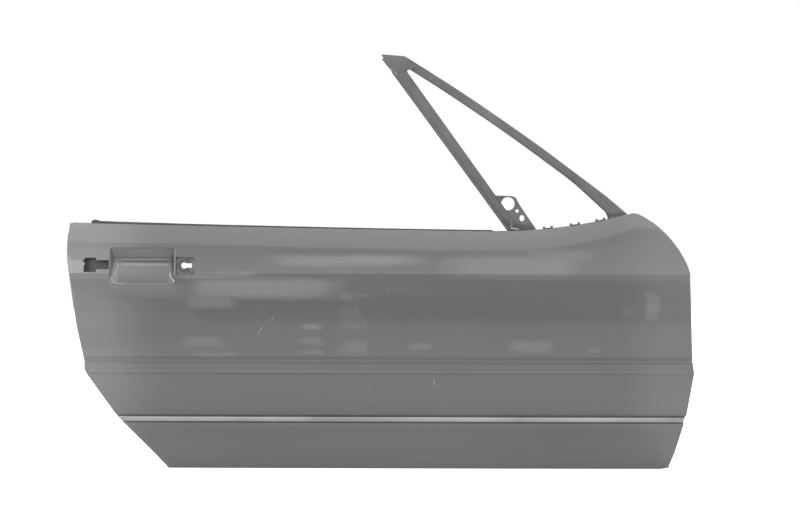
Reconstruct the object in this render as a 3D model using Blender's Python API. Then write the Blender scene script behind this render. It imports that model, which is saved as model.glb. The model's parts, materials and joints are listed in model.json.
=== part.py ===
# Door shell of a two-door convertible, right-hand side, stripped of its glass, handle and hinges.
# Metres, +Z up, +X to the front of the car, +Y inboard.
# The door is laid out on three lines: x from the hinge side, out from the glass line towards the
# outer face (so out = -y), and z from the bottom edge. An empty then carries the door, so that the
# world origin lies on the upper hinge seat.

import math

import bmesh
import bpy
from mathutils import Vector
from mathutils.geometry import delaunay_2d_cdt, interpolate_bezier

# Overall
reach = 1.288                # rearmost line of the skin, behind the x datum
crest_z = 0.409              # shoulder crease
belt_z = 0.5010              # lowest point of the belt line
belt_rise_rear = 0.0155      # how far the belt rises to its rear end
belt_rise_front = 0.039      # how far it rises to the foot of the pillar bar
belt_low_x = -0.377          # where the belt is lowest
apex_x = -0.092              # front end of the belt line
crest_out = 0.105            # widest line of the outer face
belt_drop_in = 0.043         # how far the shoulder leans in from the crease to the belt
bottom_tuck = 0.0302         # how far the bottom edge tucks in
full_z = 0.300               # height of the fullest line below the crease
plan_radius = 25.0           # curvature of the outer face seen from above
widest_x = -0.70             # where that curve is fullest
gap = 0.0003                 # clearance between pieces that touch

# Sheet metal
skin_sheet = 0.0009
panel_sheet = 0.0008
bracket_sheet = 0.0015
hem_length = 0.009
hem_radius = (2 * skin_sheet + panel_sheet + 2 * gap) / 2
roll_radius = 0.004
roll_turn = math.radians(142)
roll_lip = 0.012
seal_room = 0.0023

# Features of the skin
crease_drop = 0.011          # height of the undercut below the crease
crease_depth = 0.0033
band_low = 0.201
band_high = 0.224
band_proud = 0.0025
groove_low = 0.0975
groove_high = 0.1095
groove_depth = 0.0028
feature_ramp = 0.004         # height over which band and groove rise or fall
cup_setback = 0.0890         # rear rim of the handle cup, ahead of the rearmost line
cup_length = 0.1358
cup_top = 0.465
cup_floor = 0.4385
cup_bottom = 0.388
cup_depth = 0.020
cup_side = 0.015
cup_radius = 0.009           # rounding of the rim's corners
cup_rim = 0.0055
cup_soft = 0.045
slot_setback = 0.0344        # rear cut-out, wide part
slot_wide = 0.026
slot_narrow = 0.027
slot_rise = 0.0024           # its lower edge, above the crease
slot_height = 0.0303
slot_neck_rise = 0.0083
slot_neck_height = 0.0192
lock_clear = 0.0036          # from the cup's front rim to the front cut-out
lock_width = 0.039
lock_drop = 0.003            # its lower edge, below the crease
lock_height = 0.0379
lock_chamfer = 0.0045
key_radius = 0.0065
key_slot = (0.0160, 0.009)   # reach ahead of the key centre, and height
key_ahead = 0.0173           # key centre, ahead of the cut-out's rear edge
key_x = -reach + cup_setback + cup_length + lock_clear + key_ahead
key_z = 0.4257

# Inner panel
inner_face = -0.018          # cabin face
flange = 0.013
wall_inset = 0.016
wall_foot = 0.020
face_inset = 0.024
hinge_x = -0.014
latch_setback = 0.030
belt_gap_z = 0.014           # inner panel's top edge, below the belt line
top_turn = 0.008
press_depth = 0.004

# Hinges and latch
hinge_out = 0.040
upper_hinge_z = 0.385
lower_hinge_z = 0.134
hinge_bolt_pitch = 0.042
hinge_bolt_radius = 0.0055
latch_z = 0.432
strap_z = 0.242
harness_z = 0.187
harness_radius = 0.012

# Glass travel and quarter-light frame
glass_radius = 1.9
glass_out = 0.063
glass_full_z = 0.200
travel_slope = 0.715         # x lost for each metre that the glass rises
post_foot = (-0.3587, 0.520) # middle of the post where it leaves the belt
post_top_z = 0.842
post_bottom_z = 0.440
post_width = 0.0225
post_flare = 0.004           # how much wider the post is at its top
frame_depth = 0.018
run_width = 0.010
run_depth = 0.009
bar_bottom_z = 0.455
bar_foot_x = (-0.1380, -0.1100)
plate_sheet = 0.003

# Beam, guides, pads
beam_radius = 0.011
beam_wall = 0.0025
beam_front_z = 0.312
beam_rear_z = 0.3175
beam_front_out = 0.0795
beam_rear_out = 0.0800
beam_bow = 0.008             # how far the beam's middle bows outboard
beam_saddle = 0.0025
guide_sheet = 0.0015
guide_width = 0.018
guide_depth = 0.012
front_guide_bottom = 0.262
rear_guide_bottom = 0.118
rear_guide_x = -reach + 0.083
rear_guide_top = 0.490
pad_sheet = 0.0025
pad_low = 0.335
pad_rear_x = -0.880
pad_front_x = -0.400
drain_radius = 0.008
drain_bore = 0.0045

hinge_origin = Vector((hinge_x, -hinge_out, upper_hinge_z))


for old in list(bpy.data.objects):
    bpy.data.objects.remove(old)

door = bpy.data.objects.new("door", None)
door.location = -hinge_origin
bpy.context.collection.objects.link(door)


def finish(name, grey, roughness, metallic):
    material = bpy.data.materials.new(name)
    material.use_nodes = True
    shader = material.node_tree.nodes["Principled BSDF"]
    shader.inputs["Base Color"].default_value = (grey, grey, grey * 1.01, 1)
    shader.inputs["Roughness"].default_value = roughness
    shader.inputs["Metallic"].default_value = metallic
    return material


paint = finish("body_paint", 0.24, 0.3, 0.0)
inner_paint = finish("inner_paint", 0.22, 0.45, 0.0)
frame_paint = finish("frame_paint", 0.11, 0.4, 0.0)
bright = finish("bright_trim", 0.6, 0.25, 1.0)
zinc = finish("zinc_steel", 0.4, 0.4, 0.8)
black_steel = finish("black_steel", 0.04, 0.5, 0.2)
rubber = finish("rubber", 0.02, 0.7, 0.0)
mastic = finish("mastic", 0.05, 0.9, 0.0)


def at(x, out, z):
    return Vector((x, -out, z))


def mix(a, b, t):
    return a + (b - a) * t


def ease(t):
    t = min(max(t, 0.0), 1.0)
    return t * t * (3 - 2 * t)


def straight_through(points):
    """A function that runs straight from point to point."""
    def value(key):
        for (k0, v0), (k1, v1) in zip(points, points[1:]):
            if key <= k1:
                break
        return mix(v0, v1, min(max((key - k0) / (k1 - k0), 0), 1))
    return value


def smooth_through(points):
    """A function that runs smoothly through the points."""
    slopes = []
    for i in range(len(points)):
        before = points[max(i - 1, 0)]
        after = points[min(i + 1, len(points) - 1)]
        slopes.append((after[1] - before[1]) / (after[0] - before[0]))

    def value(key):
        i = 0
        while i < len(points) - 2 and key > points[i + 1][0]:
            i += 1
        (k0, v0), (k1, v1) = points[i], points[i + 1]
        span = k1 - k0
        t = min(max((key - k0) / span, 0), 1)
        bend = t * (1 - t) * span * (slopes[i] * (1 - t) - slopes[i + 1] * t)
        return mix(v0, v1, ease(t)) + bend
    return value


# Outline of the skin
rear_low = straight_through([(0, 0.2145), (0.098, 0.118), (0.110, 0.106), (0.198, 0.043), (0.206, 0.0385),
                             (0.226, 0.038)])
rear_high = smooth_through([(0.226, 0.038), (0.300, 0.0215), (0.384, 0.0085), (0.453, 0), (0.516, 0.0008)])
front_low = straight_through([(0, -0.0205), (0.008, -0.0175), (0.030, -0.0092), (0.092, 0.0095),
                              (0.105, 0.0100), (0.113, 0.0155), (0.200, 0.0306), (0.226, 0.0268),
                              (0.409, 0.0214)])
corner_lift = 0.004
bottom_z = -0.0017
corner_start = -0.062


def rear_edge(z):
    setback = rear_low(z) if z < 0.226 else rear_high(z)
    return -reach + setback


def belt_line(x):
    rear = max(0.0, (belt_low_x - x) / (reach + belt_low_x))
    front = min(max(0.0, (x - belt_low_x) / (apex_x - belt_low_x)), 1.0)
    return belt_z + belt_rise_rear * rear ** 1.25 + belt_rise_front * front ** 1.9


roll_rise = roll_radius * (1 - math.cos(math.radians(52)))
belt_apex_z = belt_line(apex_x) - roll_rise


def front_corner(t):
    """The skin's front top corner, from the crease (t = 0) to the end of the belt line (t = 1)."""
    low = Vector((front_low(crest_z), crest_z))
    knee = Vector((apex_x + 0.013, belt_apex_z - 0.003))
    if t < 0.9:
        s = t / 0.9
        pull_up = low + Vector((0, 0.016))
        pull_in = knee + Vector((0.068, -0.037))
        return ((1 - s) ** 3 * low + 3 * s * (1 - s) ** 2 * pull_up + 3 * s * s * (1 - s) * pull_in
                + s ** 3 * knee)
    s = (t - 0.9) / 0.1
    tip = Vector((apex_x, belt_apex_z))
    pull = Vector((apex_x + 0.007, belt_apex_z + 0.0005))
    return (1 - s) ** 2 * knee + 2 * s * (1 - s) * pull + s * s * tip


def bottom_edge(x):
    share = max(0.0, (x - corner_start) / (front_low(corner_lift) - corner_start))
    return bottom_z + corner_lift * share ** 2.2


cup_rear = -reach + cup_setback
cup_front = cup_rear + cup_length


def cup_ramps(x, z):
    return ((x - cup_rear) / cup_side, (cup_front - x) / cup_side,
            (cup_top - z) / (cup_top - cup_floor), (z - cup_bottom) / (cup_floor - cup_bottom))


def soft_least(a, b, blend):
    return -blend * math.log(math.exp(-a / blend) + math.exp(-b / blend))


def cup_inset(x, z):
    """Distance in from the cup's rim, a rectangle with rounded corners."""
    dx = min(x - cup_rear, cup_front - x)
    dz = min(cup_top - z, z - cup_bottom)
    if min(dx, dz) > 0 and dx < cup_radius and dz < cup_radius:
        return cup_radius - math.hypot(cup_radius - dx, cup_radius - dz)
    return min(dx, dz)


def cup_drop(x, z):
    """Depth of the handle cup: an upper wall, a lower ramp and two side walls that meet in soft valleys."""
    inset = cup_inset(x, z)
    if inset <= 0:
        return 0.0
    rear, front, over, under = cup_ramps(x, z)
    sides = math.sin(math.pi / 2 * min(rear, front, 1)) * 1.15
    upright = soft_least(over * 1.05, min(under, 2) ** 1.35 * 1.05, 0.035)
    least = soft_least(soft_least(sides, upright, cup_soft), inset / cup_rim, 0.03)
    return cup_depth * max(0.0, least)


def crease_hollow(x, z):
    """The undercut below the shoulder crease, faint behind the lock cut-out and gone inside the cup."""
    if z >= crest_z or z <= full_z:
        return 0.0
    foot = crest_z - crease_drop
    depth = (crest_z - z) / crease_drop if z > foot else ((z - full_z) / (foot - full_z)) ** 2
    along = 0.3 + 0.7 * ease((x - (cup_front + 0.030)) / 0.04)
    in_cup = ease(min(cup_ramps(x, z)) + 0.5)
    return crease_depth * depth * along * (1 - in_cup)


def body_out(x, z):
    """The outer face without band, groove or cup; the crease is bridged inside the cup."""
    inset = cup_inset(x, z)
    if inset <= 0:
        return plain_out(x, z)
    share = (z - cup_bottom) / (cup_top - cup_bottom)
    bridge = mix(plain_out(x, cup_bottom), plain_out(x, cup_top), share)
    return mix(plain_out(x, z), bridge, ease(inset / 0.006))


def plain_out(x, z):
    sag = (x - widest_x) ** 2 / (2 * plan_radius)
    if z <= full_z:
        return crest_out - 0.0008 - bottom_tuck * ((full_z - z) / full_z) ** 2.85 - sag
    if z <= crest_z:
        rise = 0.0008 * ease((z - full_z) / (crest_z - full_z))
        return crest_out - 0.0008 + rise - crease_hollow(x, z) - sag
    lean = (z - crest_z) / (belt_line(x) - crest_z)
    return crest_out - belt_drop_in * (0.44 * lean + 0.56 * lean ** 2.6) - sag


def skin_out(x, z):
    band = (ease((z - band_low + feature_ramp) / feature_ramp)
            * ease((band_high + feature_ramp - z) / feature_ramp))
    groove = ease((z - groove_low + feature_ramp) / feature_ramp)
    groove *= ease((groove_high + feature_ramp - z) / feature_ramp)
    return body_out(x, z) + band_proud * band - groove_depth * groove - cup_drop(x, z)


def glass_line(z):
    """The middle of the door glass: an arc in section."""
    return glass_out - glass_radius * (1 - math.sqrt(1 - ((z - glass_full_z) / glass_radius) ** 2))


def travel_x(x0, z0, z):
    return x0 - travel_slope * (z - z0)


def tidy_rows(values, step):
    kept = []
    for value in sorted(values):
        if not kept or value - kept[-1] > step:
            kept.append(value)
    return kept


low_rows = tidy_rows([0.0, 0.030, 0.062, groove_low - feature_ramp, groove_low, groove_high,
                      groove_high + feature_ramp, 0.155, band_low - feature_ramp, band_low, band_high,
                      band_high + feature_ramp, 0.265, full_z, pad_low, 0.365, cup_bottom - 0.003,
                      crest_z - crease_drop], 0.002)
rear_height = belt_line(-reach) - crest_z
high_rows = [0.0] + tidy_rows([0.13, (cup_floor - crest_z) / rear_height, 0.40,
                               (cup_top - crest_z) / rear_height,
                               0.65, 0.77, 0.88, 0.95, 1.0], 0.03)
crest_row = len(low_rows)
crest_rear = rear_edge(crest_z)
crest_front = front_low(crest_z)
lock_columns = (cup_front + 0.0027, cup_front + 0.0232, cup_front + 0.0472)
column_x = tidy_rows([crest_rear, crest_rear + 0.014, -reach + 0.036, -reach + 0.062, cup_rear - 0.004,
                      cup_rear + 0.003, cup_rear + 0.010, cup_rear + cup_side + 0.001, cup_rear + 0.05,
                      cup_front - 0.05, cup_front - cup_side - 0.001, cup_front - 0.010, cup_front - 0.003,
                      cup_front + 0.0005,
                      *lock_columns, -0.960, -0.880, -0.780, -0.680, -0.580, -0.480, -0.400, -0.350, -0.300,
                      -0.255, -0.215, -0.175, -0.135, -0.100, -0.070, -0.040, -0.015, 0.006,
                      crest_front], 0.002)
columns = [(x - crest_rear) / (crest_front - crest_rear) for x in column_x]
upright_share = 0.25         # rear share of the columns that stay upright above the crease
row_count = crest_row + len(high_rows)
column_count = len(columns)


def outline_point(row, u):
    """Place on the door's outline grid, as x and z."""
    if row < crest_row:
        z = low_rows[row]
        if row == 0:
            x = mix(rear_edge(0), front_low(corner_lift), u)
            return x, bottom_edge(x)
        return mix(rear_edge(z), front_low(z), u), z
    t = high_rows[row - crest_row]
    slide = max(0.0, (u - upright_share) / (1 - upright_share)) ** 2
    left_z = mix(crest_z, belt_line(-reach) - roll_rise, t)
    top_corner_x = rear_edge(belt_line(-reach))
    low_left = Vector((crest_rear, crest_z))
    low_right = Vector((crest_front, crest_z))
    top_left = Vector((top_corner_x, belt_line(top_corner_x) - roll_rise))
    bottom = mix(low_left, low_right, u)
    top_x = bottom.x + (top_corner_x - crest_rear) * (1 - u) + (apex_x - crest_front) * slide
    top = Vector((top_x, belt_line(top_x) - roll_rise))
    left_bow = Vector((rear_edge(left_z), left_z)) - mix(low_left, top_left, t)
    right_bow = front_corner(t) - mix(low_right, front_corner(1), t)
    spot = mix(bottom, top, t) + left_bow * (1 - u) + right_bow * slide
    return spot.x, spot.y


def skin_point(row, column):
    x, z = outline_point(row, columns[column])
    return at(x, skin_out(x, z), z)


grid = [[skin_point(r, c) for c in range(column_count)] for r in range(row_count)]


def grid_normal(row, column):
    """Unit normal that points outboard, scaled so that an offset along it keeps the sheets parallel."""
    here = grid[row][column]
    faces = []
    for dr, dc in ((1, 1), (1, -1), (-1, 1), (-1, -1)):
        r, c = row + dr, column + dc
        if 0 <= r < row_count and 0 <= c < column_count:
            side = (grid[row][c] - here).cross(grid[r][column] - here)
            if side.length > 1e-12:
                side = side.normalized()
                faces.append(side if side.y < 0 else -side)
    total = sum(faces, Vector()).normalized()
    return total / max(sum(total.dot(f) for f in faces) / len(faces), 0.5)


normals = [[grid_normal(r, c) for c in range(column_count)] for r in range(row_count)]


def under(row, column, depth):
    return grid[row][column] - normals[row][column] * depth


def along_row(row, distance, depth, front):
    """A place under the skin, a distance in from its rear or front edge along a row of the grid."""
    order = list(range(column_count))
    if front:
        order.reverse()
    walked = 0.0
    for a, b in zip(order, order[1:]):
        step = (grid[row][b] - grid[row][a]).length
        if walked + step >= distance:
            t = (distance - walked) / step
            return mix(under(row, a, depth), under(row, b, depth), t)
        walked += step
    return under(row, order[-1], depth)


def up_column(column, height, depth):
    """A place under the skin at a height above the bottom edge."""
    for r in range(row_count - 1):
        low, high = grid[r][column], grid[r + 1][column]
        if high.z >= height:
            t = (height - low.z) / (high.z - low.z)
            return mix(under(r, column, depth), under(r + 1, column, depth), t)
    return under(0, column, depth)


def under_at(x, z, depth):
    """A place under the faceted skin: the grid cell that holds x and z, then the offset of its corners."""
    for r in range(row_count - 1):
        for c in range(column_count - 1):
            a, b = grid[r][c], grid[r][c + 1]
            d, e = grid[r + 1][c], grid[r + 1][c + 1]
            v = (z - mix(a.z, b.z, 0.5)) / (mix(d.z, e.z, 0.5) - mix(a.z, b.z, 0.5))
            if not 0 <= v <= 1:
                continue
            left, right = mix(a.x, d.x, v), mix(b.x, e.x, v)
            if left <= x <= right:
                u = (x - left) / (right - left)
                low = mix(under(r, c, depth), under(r, c + 1, depth), u)
                high = mix(under(r + 1, c, depth), under(r + 1, c + 1, depth), u)
                return mix(low, high, v)
    return at(x, skin_out(x, z) - depth, z)


def add_object(name, bm, material, sharp=30):
    mesh = bpy.data.meshes.new(name)
    bm.to_mesh(mesh)
    bm.free()
    mesh.materials.append(material)
    if sharp:
        mesh.shade_smooth()
        mesh.set_sharp_from_angle(angle=math.radians(sharp))
    obj = bpy.data.objects.new(name, mesh)
    bpy.context.collection.objects.link(obj)
    obj.parent = door
    return obj


def extrude_edges(bm, edges, place):
    """Extrude a chain of edges, and put each new vertex where place says for the one it grew from."""
    grown = bmesh.ops.extrude_edge_only(bm, edges=edges)["geom"]
    fresh = [g for g in grown if isinstance(g, bmesh.types.BMVert)]
    fresh_set = set(fresh)
    origin = {}
    for vert in fresh:
        for edge in vert.link_edges:
            other = edge.other_vert(vert)
            if other not in fresh_set:
                origin[other] = vert
    for old, new in origin.items():
        new.co = place[old]
    new_edges = [g for g in grown if isinstance(g, bmesh.types.BMEdge)]
    return new_edges, origin


def chain(bm, points, closed=False):
    verts = [bm.verts.new(p) for p in points]
    edges = [bm.edges.new(pair) for pair in zip(verts, verts[1:])]
    if closed:
        edges.append(bm.edges.new((verts[-1], verts[0])))
    return verts, edges


def grow_rows(bm, verts, edges, rows):
    for row in rows:
        edges, origin = extrude_edges(bm, edges, dict(zip(verts, row)))
        verts = [origin[v] for v in verts]
    return verts, edges


def point_normals(bm, towards):
    """Turn an open sheet so that it looks, on the whole, towards a direction."""
    bmesh.ops.recalc_face_normals(bm, faces=bm.faces[:])
    facing = sum((f.normal * f.calc_area() for f in bm.faces), Vector())
    if facing.dot(towards) < 0:
        bmesh.ops.reverse_faces(bm, faces=bm.faces[:])


def thicken(obj, sheet):
    wall = obj.modifiers.new("sheet", "SOLIDIFY")
    wall.thickness = sheet
    wall.offset = -1
    wall.use_even_offset = True
    wall.use_quality_normals = True
    return obj


def pressing(name, rows, sheet, material, towards):
    """A pressed strip: rows of points, and a sheet that lies behind the side looking towards a direction."""
    bm = bmesh.new()
    verts, edges = chain(bm, rows[0])
    grow_rows(bm, verts, edges, rows[1:])
    point_normals(bm, towards)
    return thicken(add_object(name, bm, material), sheet)


def loft(name, rings, material, sharp=30):
    """A closed solid through rings of points."""
    bm = bmesh.new()
    verts, edges = chain(bm, rings[0], closed=True)
    first = list(verts)
    verts, edges = grow_rows(bm, verts, edges, rings[1:])
    bm.faces.new(first)
    bm.faces.new(verts)
    bmesh.ops.recalc_face_normals(bm, faces=bm.faces[:])
    return add_object(name, bm, material, sharp)


def cutter(name, bm):
    bmesh.ops.recalc_face_normals(bm, faces=bm.faces[:])
    obj = add_object(name, bm, black_steel, sharp=0)
    obj.hide_render = True
    obj.display_type = "WIRE"
    return obj


def add_prism(bm, low_ring, high_ring):
    low = [bm.verts.new(p) for p in low_ring]
    high = [bm.verts.new(p) for p in high_ring]
    bm.faces.new(low)
    bm.faces.new(high)
    count = len(low)
    for i in range(count):
        bm.faces.new((low[i], low[(i + 1) % count], high[(i + 1) % count], high[i]))


def combine(obj, tool, operation):
    step = obj.modifiers.new(operation.lower(), "BOOLEAN")
    step.object = tool
    step.operation = operation
    step.solver = "EXACT"


def circle(cx, cy, radius, count):
    turn = 2 * math.pi / count
    return [(cx + radius * math.cos(turn * i), cy + radius * math.sin(turn * i)) for i in range(count)]


def rounded_box(cx, cy, width, height, radius, steps=3):
    corners = [(1, 1, 0), (-1, 1, 90), (-1, -1, 180), (1, -1, 270)]
    points = []
    for sx, sy, start in corners:
        for k in range(steps + 1):
            turn = math.radians(start + 90 * k / steps)
            points.append((cx + sx * (width / 2 - radius) + radius * math.cos(turn),
                           cy + sy * (height / 2 - radius) + radius * math.sin(turn)))
    return points


def through_out(bm, outline, out_low, out_high):
    """A prism through the door's thickness, with its outline in x and z."""
    add_prism(bm, [at(x, out_low, z) for x, z in outline], [at(x, out_high, z) for x, z in outline])


def through_x(bm, outline, x_low, x_high):
    """A prism along the door, with its outline in out and z."""
    add_prism(bm, [at(x_low, out, z) for out, z in outline], [at(x_high, out, z) for out, z in outline])


def edge_frame(path, index, normal):
    """Outward direction, in the skin's plane, at a vertex of the skin's outline path."""
    here = path[index]
    sides = []
    for a, b in ((index - 1, index), (index, index + 1)):
        if a >= 0 and b < len(path):
            run = (path[b] - path[a]).normalized()
            sides.append(normal.cross(run).normalized())
    total = sum(sides, Vector()).normalized()
    return total / max(total.dot(sides[0]), 0.6)


hem_top = max(r for r in range(row_count) if r >= crest_row and high_rows[r - crest_row] < 0.8)
hem_path = [(r, 0) for r in range(hem_top, 0, -1)] + [(0, c) for c in range(column_count)]
hem_path += [(r, column_count - 1) for r in range(1, hem_top + 1)]


def build_outer_skin():
    bm = bmesh.new()
    bmesh.ops.create_grid(bm, x_segments=column_count - 1, y_segments=row_count - 1, size=0.5)
    index = {}
    for vert in bm.verts:
        c = round((vert.co.x + 0.5) * (column_count - 1))
        r = round((vert.co.y + 0.5) * (row_count - 1))
        index[(r, c)] = vert
    for (r, c), vert in index.items():
        vert.co = grid[r][c]

    path = [grid[r][c] for r, c in hem_path]
    outward = [edge_frame(path, i, normals[r][c].normalized()) for i, (r, c) in enumerate(hem_path)]
    if outward[len(hem_path) // 2].z > 0:
        outward = [-o for o in outward]
    verts = [index[key] for key in hem_path]
    edges = [bm.edges.get(pair) for pair in zip(verts, verts[1:])]
    rows = []
    for turn in (60, 120, 180):
        push = hem_radius * math.sin(math.radians(turn))
        sink = hem_radius * (1 - math.cos(math.radians(turn)))
        rows.append([p + o * push - normals[r][c] * sink for p, o, (r, c) in zip(path, outward, hem_path)])
    rows.append(panel_row(hem_length, 2 * hem_radius, None, None))
    grow_rows(bm, verts, edges, rows)

    top = row_count - 1
    roll_columns = range(1, column_count - 1)
    verts = [index[(top, c)] for c in roll_columns]
    edges = [bm.edges.get(pair) for pair in zip(verts, verts[1:])]
    rows = []
    for share in (0.33, 0.67, 1.0):
        turn = roll_turn * share
        rows.append([roll_point(c, turn, roll_radius) for c in roll_columns])
    rows.append([roll_point(c, roll_turn, roll_radius) + at(0, 0, -roll_lip) for c in roll_columns])
    grow_rows(bm, verts, edges, rows)
    point_normals(bm, Vector((0, -1, 0)))
    skin = thicken(add_object("outer_skin", bm, paint), skin_sheet)

    bm = bmesh.new()
    slot_x = -reach + slot_setback
    join_x = slot_x + slot_wide
    end_x = join_x + slot_narrow
    low, high = crest_z + slot_rise, crest_z + slot_rise + slot_height
    neck_low, neck_high = crest_z + slot_neck_rise, crest_z + slot_neck_rise + slot_neck_height
    t_shape = [(slot_x, low), (join_x, low), (join_x, neck_low), (end_x, neck_low), (end_x, neck_high),
               (join_x, neck_high), (join_x, high), (slot_x, high)]
    through_out(bm, t_shape, crest_out - 0.030, crest_out + 0.02)
    lock_x = cup_front + lock_clear
    lock_end = lock_x + lock_width
    low, high = crest_z - lock_drop, crest_z - lock_drop + lock_height
    square = [(lock_x, low), (lock_end, low), (lock_end, high - lock_chamfer),
              (lock_end - lock_chamfer, high), (lock_x, high)]
    through_out(bm, square, crest_out - 0.030, crest_out + 0.02)
    combine(skin, cutter("skin_cuts", bm), "DIFFERENCE")


def roll_frame(column):
    """Edge point, direction over the belt edge and outward normal, in the section at a column."""
    top = row_count - 1
    here = grid[top][column]
    x = here.x
    step = 0.002
    run = at(0, body_out(x, here.z) - body_out(x, here.z - step), step).normalized()
    normal = Vector((0, -run.z, run.y))
    if normal.z < 0:
        normal = -normal
    return here, run, normal


def roll_point(column, turn, radius):
    here, run, normal = roll_frame(column)
    centre = here - normal * roll_radius
    return centre + run * radius * math.sin(turn) + normal * radius * math.cos(turn)


def seal_columns(first_x, last_x):
    top = row_count - 1
    return [c for c in range(1, column_count - 1) if first_x <= grid[top][c].x <= last_x]


def build_belt_seal():
    """Rubber seal over the belt roll: a leg hooks under the roll's lip, a thin tongue wipes the glass."""
    rings = []
    picked = seal_columns(-reach + 0.040, post_foot[0] - 0.030)
    for order, c in enumerate(picked):
        fade = mix(0.0042, 0.0016, min(order / (len(picked) - 1) * 1.25, 1))
        bump = 0.003 if order == 0 else 0.0
        clear = roll_radius + gap
        first = math.radians(18)
        under_roll = [roll_point(c, mix(first, roll_turn, s), clear) for s in (0, 0.33, 0.67, 1)]
        over_roll = [roll_point(c, mix(first, math.radians(100), s), clear + fade + bump)
                     for s in (1, 0.6, 0.2)]
        lip_end = roll_point(c, roll_turn, clear)
        bottom = lip_end + at(0, 0, -roll_lip - 0.0004)
        hook = bottom + at(0, 0.0026, -0.0004)
        hook_low = bottom + at(0, 0.0026, -0.0018)
        foot = bottom + at(0, -0.0018, -0.0018)
        arm = lip_end + at(0, -0.0018, -0.004)
        tongue_low = lip_end + at(0, -0.0075, -0.0035)
        tongue = lip_end + at(0, -0.0080, -0.0020)
        crown = lip_end + at(0, -0.0016, 0.0018)
        rings.append(under_roll + [bottom, hook, hook_low, foot, arm, tongue_low, tongue, crown] + over_roll)
    loft("belt_seal", rings, rubber)


def build_trim_strip():
    """Bright strip in the groove: its back follows the groove floor, its face stands a little proud."""
    floor_low = low_rows.index(groove_low)
    floor_high = low_rows.index(groove_high)
    rings = []
    lip = 0.0015
    for c in range(column_count):
        low, high = grid[floor_low][c], grid[floor_high][c]
        n_low = normals[floor_low][c].normalized()
        bottom = mix(low, high, lip / (groove_high - groove_low))
        top = mix(high, low, lip / (groove_high - groove_low))
        back = [bottom + n_low * gap, top + n_low * gap]
        face = groove_depth + 0.0012
        rise = (top - bottom) * 0.18
        front = [top + n_low * (face - 0.0009), top - rise + n_low * face, bottom + rise + n_low * face,
                 bottom + n_low * (face - 0.0009)]
        rings.append(back + front)
    loft("trim_strip", rings, bright)


# Openings, beads and steps pressed in the cabin face of the inner panel, in x and z
def panel_features():
    """Each feature is a list of nested loops with the depth of each; an open one ends in a hole."""
    large = [(-0.722 * reach, 0.266, 0.233 * reach, 0.200, 0.035),
             (-0.388 * reach, 0.300, 0.248 * reach, 0.200, 0.040)]
    features = []
    for cx, cz, width, height, radius in large:
        loops = [(rounded_box(cx, cz, width + 0.036, height + 0.036, radius + 0.018), 0.0),
                 (rounded_box(cx, cz, width + 0.024, height + 0.024, radius + 0.012), press_depth),
                 (rounded_box(cx, cz, width, height, radius), press_depth)]
        features.append((loops, True))
    speaker = (-0.128 * reach, 0.150)
    features.append(([(circle(*speaker, 0.082, 24), 0.0), (circle(*speaker, 0.078, 24), -0.003),
                      (circle(*speaker, 0.068, 24), -0.003)], True))
    key_window = (key_x - 0.003, key_z - 0.001)
    low_rear, low_front = -reach + 0.403, -0.547 * reach   # lower window, ahead of the rear guide's strap
    small = [(key_window[0], key_window[1], 0.084, 0.050, 0.015),
             (-0.586 * reach, 0.424, 0.0854 * reach, 0.050, 0.015),
             ((low_rear + low_front) / 2, 0.100, low_front - low_rear, 0.046, 0.020),
             (-0.326 * reach, 0.105, 0.155 * reach, 0.046, 0.020),
             (-reach + 0.098, 0.330, 0.056, 0.080, 0.022),
             (-0.1615 * reach, 0.395, 0.0699 * reach, 0.050, 0.018)]
    for cx, cz, width, height, radius in small:
        loops = [(rounded_box(cx, cz, width + 0.016, height + 0.016, radius + 0.008, 2), 0.0),
                 (rounded_box(cx, cz, width + 0.009, height + 0.009, radius + 0.004, 2), press_depth / 2),
                 (rounded_box(cx, cz, width, height, radius, 2), press_depth / 2)]
        features.append((loops, True))
    bead_rear, bead_front = key_x + 0.062, -0.644 * reach
    beads = [(-0.554 * reach, 0.280, 0.022, 0.170),
             (-0.8385 * reach - 0.038, 0.228, 0.018, 0.090), (-0.225 * reach, 0.300, 0.018, 0.120),
             (-0.388 * reach, 0.452, 0.233 * reach, 0.018),
             ((bead_rear + bead_front) / 2, 0.452, bead_front - bead_rear, 0.018),
             (-0.481 * reach, 0.155, 0.101 * reach, 0.016)]
    for cx, cz, width, height in beads:
        radius = min(width, height) / 2
        loops = [(rounded_box(cx, cz, width, height, radius * 0.98, 2), 0.0),
                 (rounded_box(cx, cz, width - 0.009, height - 0.009, (radius - 0.0045) * 0.98, 2), -0.0035)]
        features.append((loops, False))
    clips = [(x * reach, 0.050) for x in (-0.769, -0.683, -0.575, -0.481, -0.373, -0.264, -0.155, -0.070)]
    clips += [(-0.8385 * reach, 0.130), (-0.901 * reach, 0.230), (-0.951 * reach, 0.420)]
    clips += [(-0.050, 0.120), (-0.045, 0.230), (-0.045, 0.340)]
    for cx, cz in clips:
        features.append(([(circle(cx, cz, 0.0045, 6), 0.0)], True))
    return features


panel_wall = inner_face + panel_sheet
latch_wall_x = -reach + latch_setback + panel_sheet
hinge_wall_x = hinge_x - panel_sheet
planar_from_z = 0.29


def edge_slant(row, front):
    """Sine of the angle between the skin's edge and the grid row, at the row's rear or front end."""
    c = column_count - 1 if front else 0
    above = grid[min(row + 1, row_count - 1)][c]
    below = grid[max(row - 1, 0)][c]
    step = grid[row][c - 1 if front else c + 1] - grid[row][c]
    return max((above - below).normalized().cross(step.normalized()).length, 0.35)


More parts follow.
